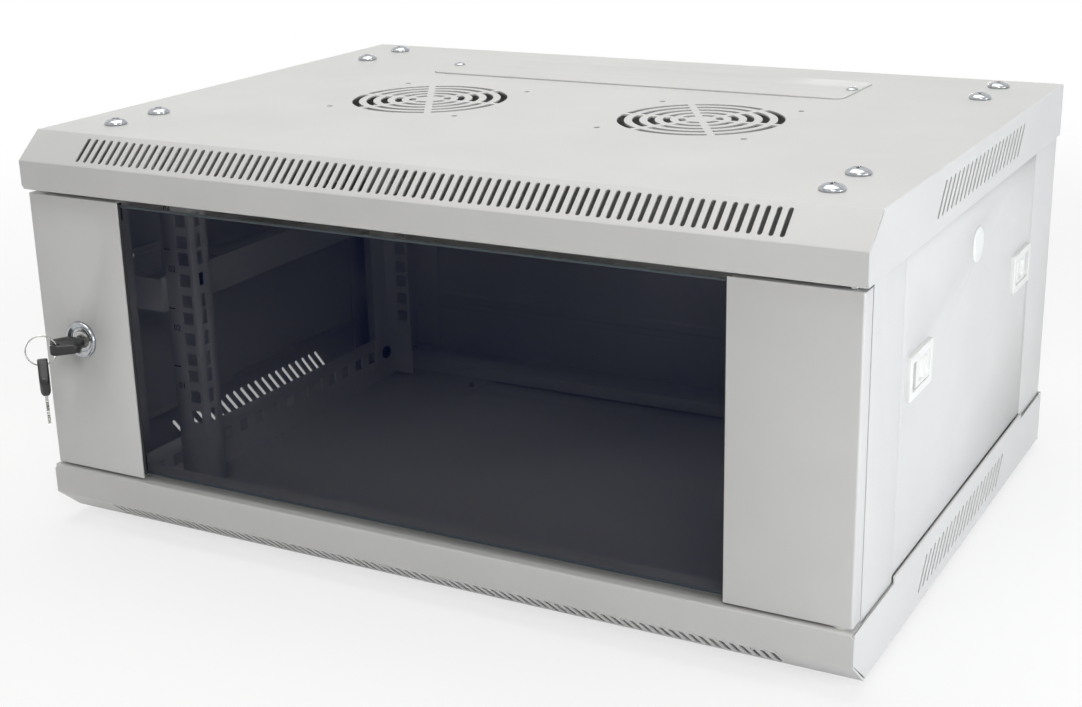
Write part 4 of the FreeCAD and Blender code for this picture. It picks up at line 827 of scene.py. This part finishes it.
def printedMarks(side, sign):
    shells = []
    for unit in range(marks["units"]):
        written = bpy.data.curves.new("rackUnitNumber", "FONT")
        written.body = "0" + str(unit + 1)
        written.size, written.extrude = marks["height"] * marks["fontScale"], marks["film"] / 2
        written.align_x, written.align_y = "CENTER", "CENTER"
        holder = bpy.data.objects.new("rackUnitNumber", written)
        bpy.context.scene.collection.objects.link(holder)
        flat = bpy.data.meshes.new_from_object(holder.evaluated_get(bpy.context.evaluated_depsgraph_get()))
        bpy.data.objects.remove(holder)
        points = np.empty(len(flat.vertices) * 3)
        flat.vertices.foreach_get("co", points)
        z = marks["base"] + marks["unit"] * (unit + marks["numberRise"]) - middle
        seat = (sign * marks["numberX"], marks["face"] - marks["film"] / 2, z)
        points = placed(points.reshape(-1, 3), seat, marks["axes"])
        flat.calc_loop_triangles()
        corners = np.empty(len(flat.loop_triangles) * 3, np.int32)
        flat.loop_triangles.foreach_get("vertices", corners)
        shells.append((points, corners.reshape(-1, 3)))
        bpy.data.meshes.remove(flat)
        if unit:
            rings, faces = ringShell(marks["markWidth"], marks["markHeight"], marks["corner"],
                                     ((0, 0), (0, marks["film"])), least=marks["corner"])
            z = marks["base"] + marks["unit"] * unit - middle
            seat = (sign * (marks["edgeX"] - marks["markWidth"] / 2), marks["face"], z)
            shells.append((placed(rings, seat, marks["axes"]), faces))
    mesh = surfaceMesh(side + "_rail_print", shells, 30)
    finishPiece(side + "_rail_print", mesh, [], slot="black_plastic", body="cabinet", material=ink)


printedMarks("left", -1)
printedMarks("right", 1)
print("rails printed")

for name, node in frame["nodes"].items():
    if node.hide_render:
        continue
    if not node.material_slots:
        node.data.materials.append(None)
    for place in node.material_slots:
        place.link = "OBJECT"
        place.material = finishes[slotOf[name]]

# plain studio: a pale floor that turns to plain white away from the cabinet, and white all round
studio = {
    "floorSize": 30.0, "floorGap": 0.0005, "fadeStart": 0.55, "fadeEnd": 1.5, "paints": ("#f2f2f2", "#f4f4f4"),
    "ambient": 0.14, "shadowKept": 0.3,
    "lamps": [
        # name, place, size, power, colour
        ("sideSoftbox", (1.05, -0.6, 0.0), 0.5, 3.2, "#f6faff"),
        ("farSideSoftbox", (1.9, -0.3, 0.3), 0.6, 8.3, "#f2f8ff"),
        ("keySoftbox", (0.9, -1.7, 1.2), 0.8, 12.3, "#fffcfb"),
        ("topSoftbox", (-0.2, -0.1, 2.0), 2.0, 33.0, "#fffffc"),
        ("leftSoftbox", (-1.6, -0.15, 0.0), 0.2, 4.0, "#fbfdff"),
        ("rearSoftbox", (-0.4, 1.7, 0.0), 0.2, 4.0, "#fbfdff"),
    ],
}


# 1 for rays that look at a surface, straight or by way of a mirror or glass, and 0 for light that bounces
def seenRays(tree):
    rays = addNode(tree, "ShaderNodeLightPath").outputs
    seen = rays["Is Camera Ray"]
    for kind in ("Is Glossy Ray", "Is Transmission Ray"):
        seen = addNode(tree, "ShaderNodeMath", links={0: seen, 1: rays[kind]}, operation="MAXIMUM").outputs[0]
    return seen


def makeFloor():
    material, tree, shader, place = newMaterial("paintedStudioFloor", Roughness=0.9)
    cloud = grain(tree, place, 0.4)
    tree.links.new(drift(tree, cloud, *studio["paints"]), shader.inputs["Base Color"])
    distance = addNode(tree, "ShaderNodeVectorMath", links={0: place}, operation="LENGTH").outputs["Value"]
    values = {"From Min": studio["fadeStart"], "From Max": studio["fadeEnd"]}
    fade = addNode(tree, "ShaderNodeMapRange", values, {"Value": distance}, interpolation_type="SMOOTHSTEP")
    whitened = between(tree, fade.outputs["Result"], 1 - studio["shadowKept"], 1.0)
    links = {0: seenRays(tree), 1: whitened}
    share = addNode(tree, "ShaderNodeMath", links=links, operation="MULTIPLY").outputs[0]
    white = addNode(tree, "ShaderNodeEmission", {"Color": (1.0, 1.0, 1.0, 1.0), "Strength": 1.0}).outputs[0]
    mix = addNode(tree, "ShaderNodeMixShader", links={0: share, 1: shader.outputs[0], 2: white}).outputs[0]
    tree.links.new(mix, tree.nodes["Material Output"].inputs["Surface"])
    half, level = studio["floorSize"] / 2, cadBox[0].z - studio["floorGap"]
    mesh = bpy.data.meshes.new("floor")
    mesh.from_pydata([(-half, -half, level), (half, -half, level), (half, half, level), (-half, half, level)], [],
                     [(0, 1, 2, 3)])
    mesh.materials.append(material)
    floor = bpy.data.objects.new("floor", mesh)
    bpy.context.scene.collection.objects.link(floor)
    floor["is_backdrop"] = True


def makeLight():
    world = bpy.data.worlds.new("studioWhite")
    bpy.context.scene.world = world
    world.use_nodes = True
    tree = world.node_tree
    strength = between(tree, seenRays(tree), studio["ambient"], 1.0)
    background = tree.nodes["Background"]
    background.inputs["Color"].default_value = (1.0, 1.0, 1.0, 1.0)
    tree.links.new(strength, background.inputs["Strength"])
    for name, place, size, power, colour in studio["lamps"]:
        lamp = bpy.data.lights.new(name, "AREA")
        lamp.shape, lamp.size, lamp.energy, lamp.color = "SQUARE", size, power, hexColour(colour)[:3]
        stand = bpy.data.objects.new(name, lamp)
        stand.location = place
        stand.rotation_euler = (Vector((0, -0.2, 0)) - Vector(place)).to_track_quat("-Z", "Y").to_euler()
        bpy.context.scene.collection.objects.link(stand)


# the camera stands to the right of the door and above the deck
view = {"place": (0.565486, -1.289524, 0.356853), "turn": (1.2506995, 0.0216272, 0.4962496), "lens": 57.0,
        "film": 36.0}


def makeCamera():
    data = bpy.data.cameras.new("studioCamera")
    data.sensor_fit, data.sensor_width, data.lens = "HORIZONTAL", view["film"], view["lens"]
    camera = bpy.data.objects.new("studioCamera", data)
    camera.location, camera.rotation_euler = view["place"], view["turn"]
    bpy.context.scene.collection.objects.link(camera)
    bpy.context.scene.camera = camera


makeFloor()
makeLight()
makeCamera()
bpy.context.scene.view_settings.view_transform = "Standard"
print("studio ready")

bpy.context.view_layer.update()
low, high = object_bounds()
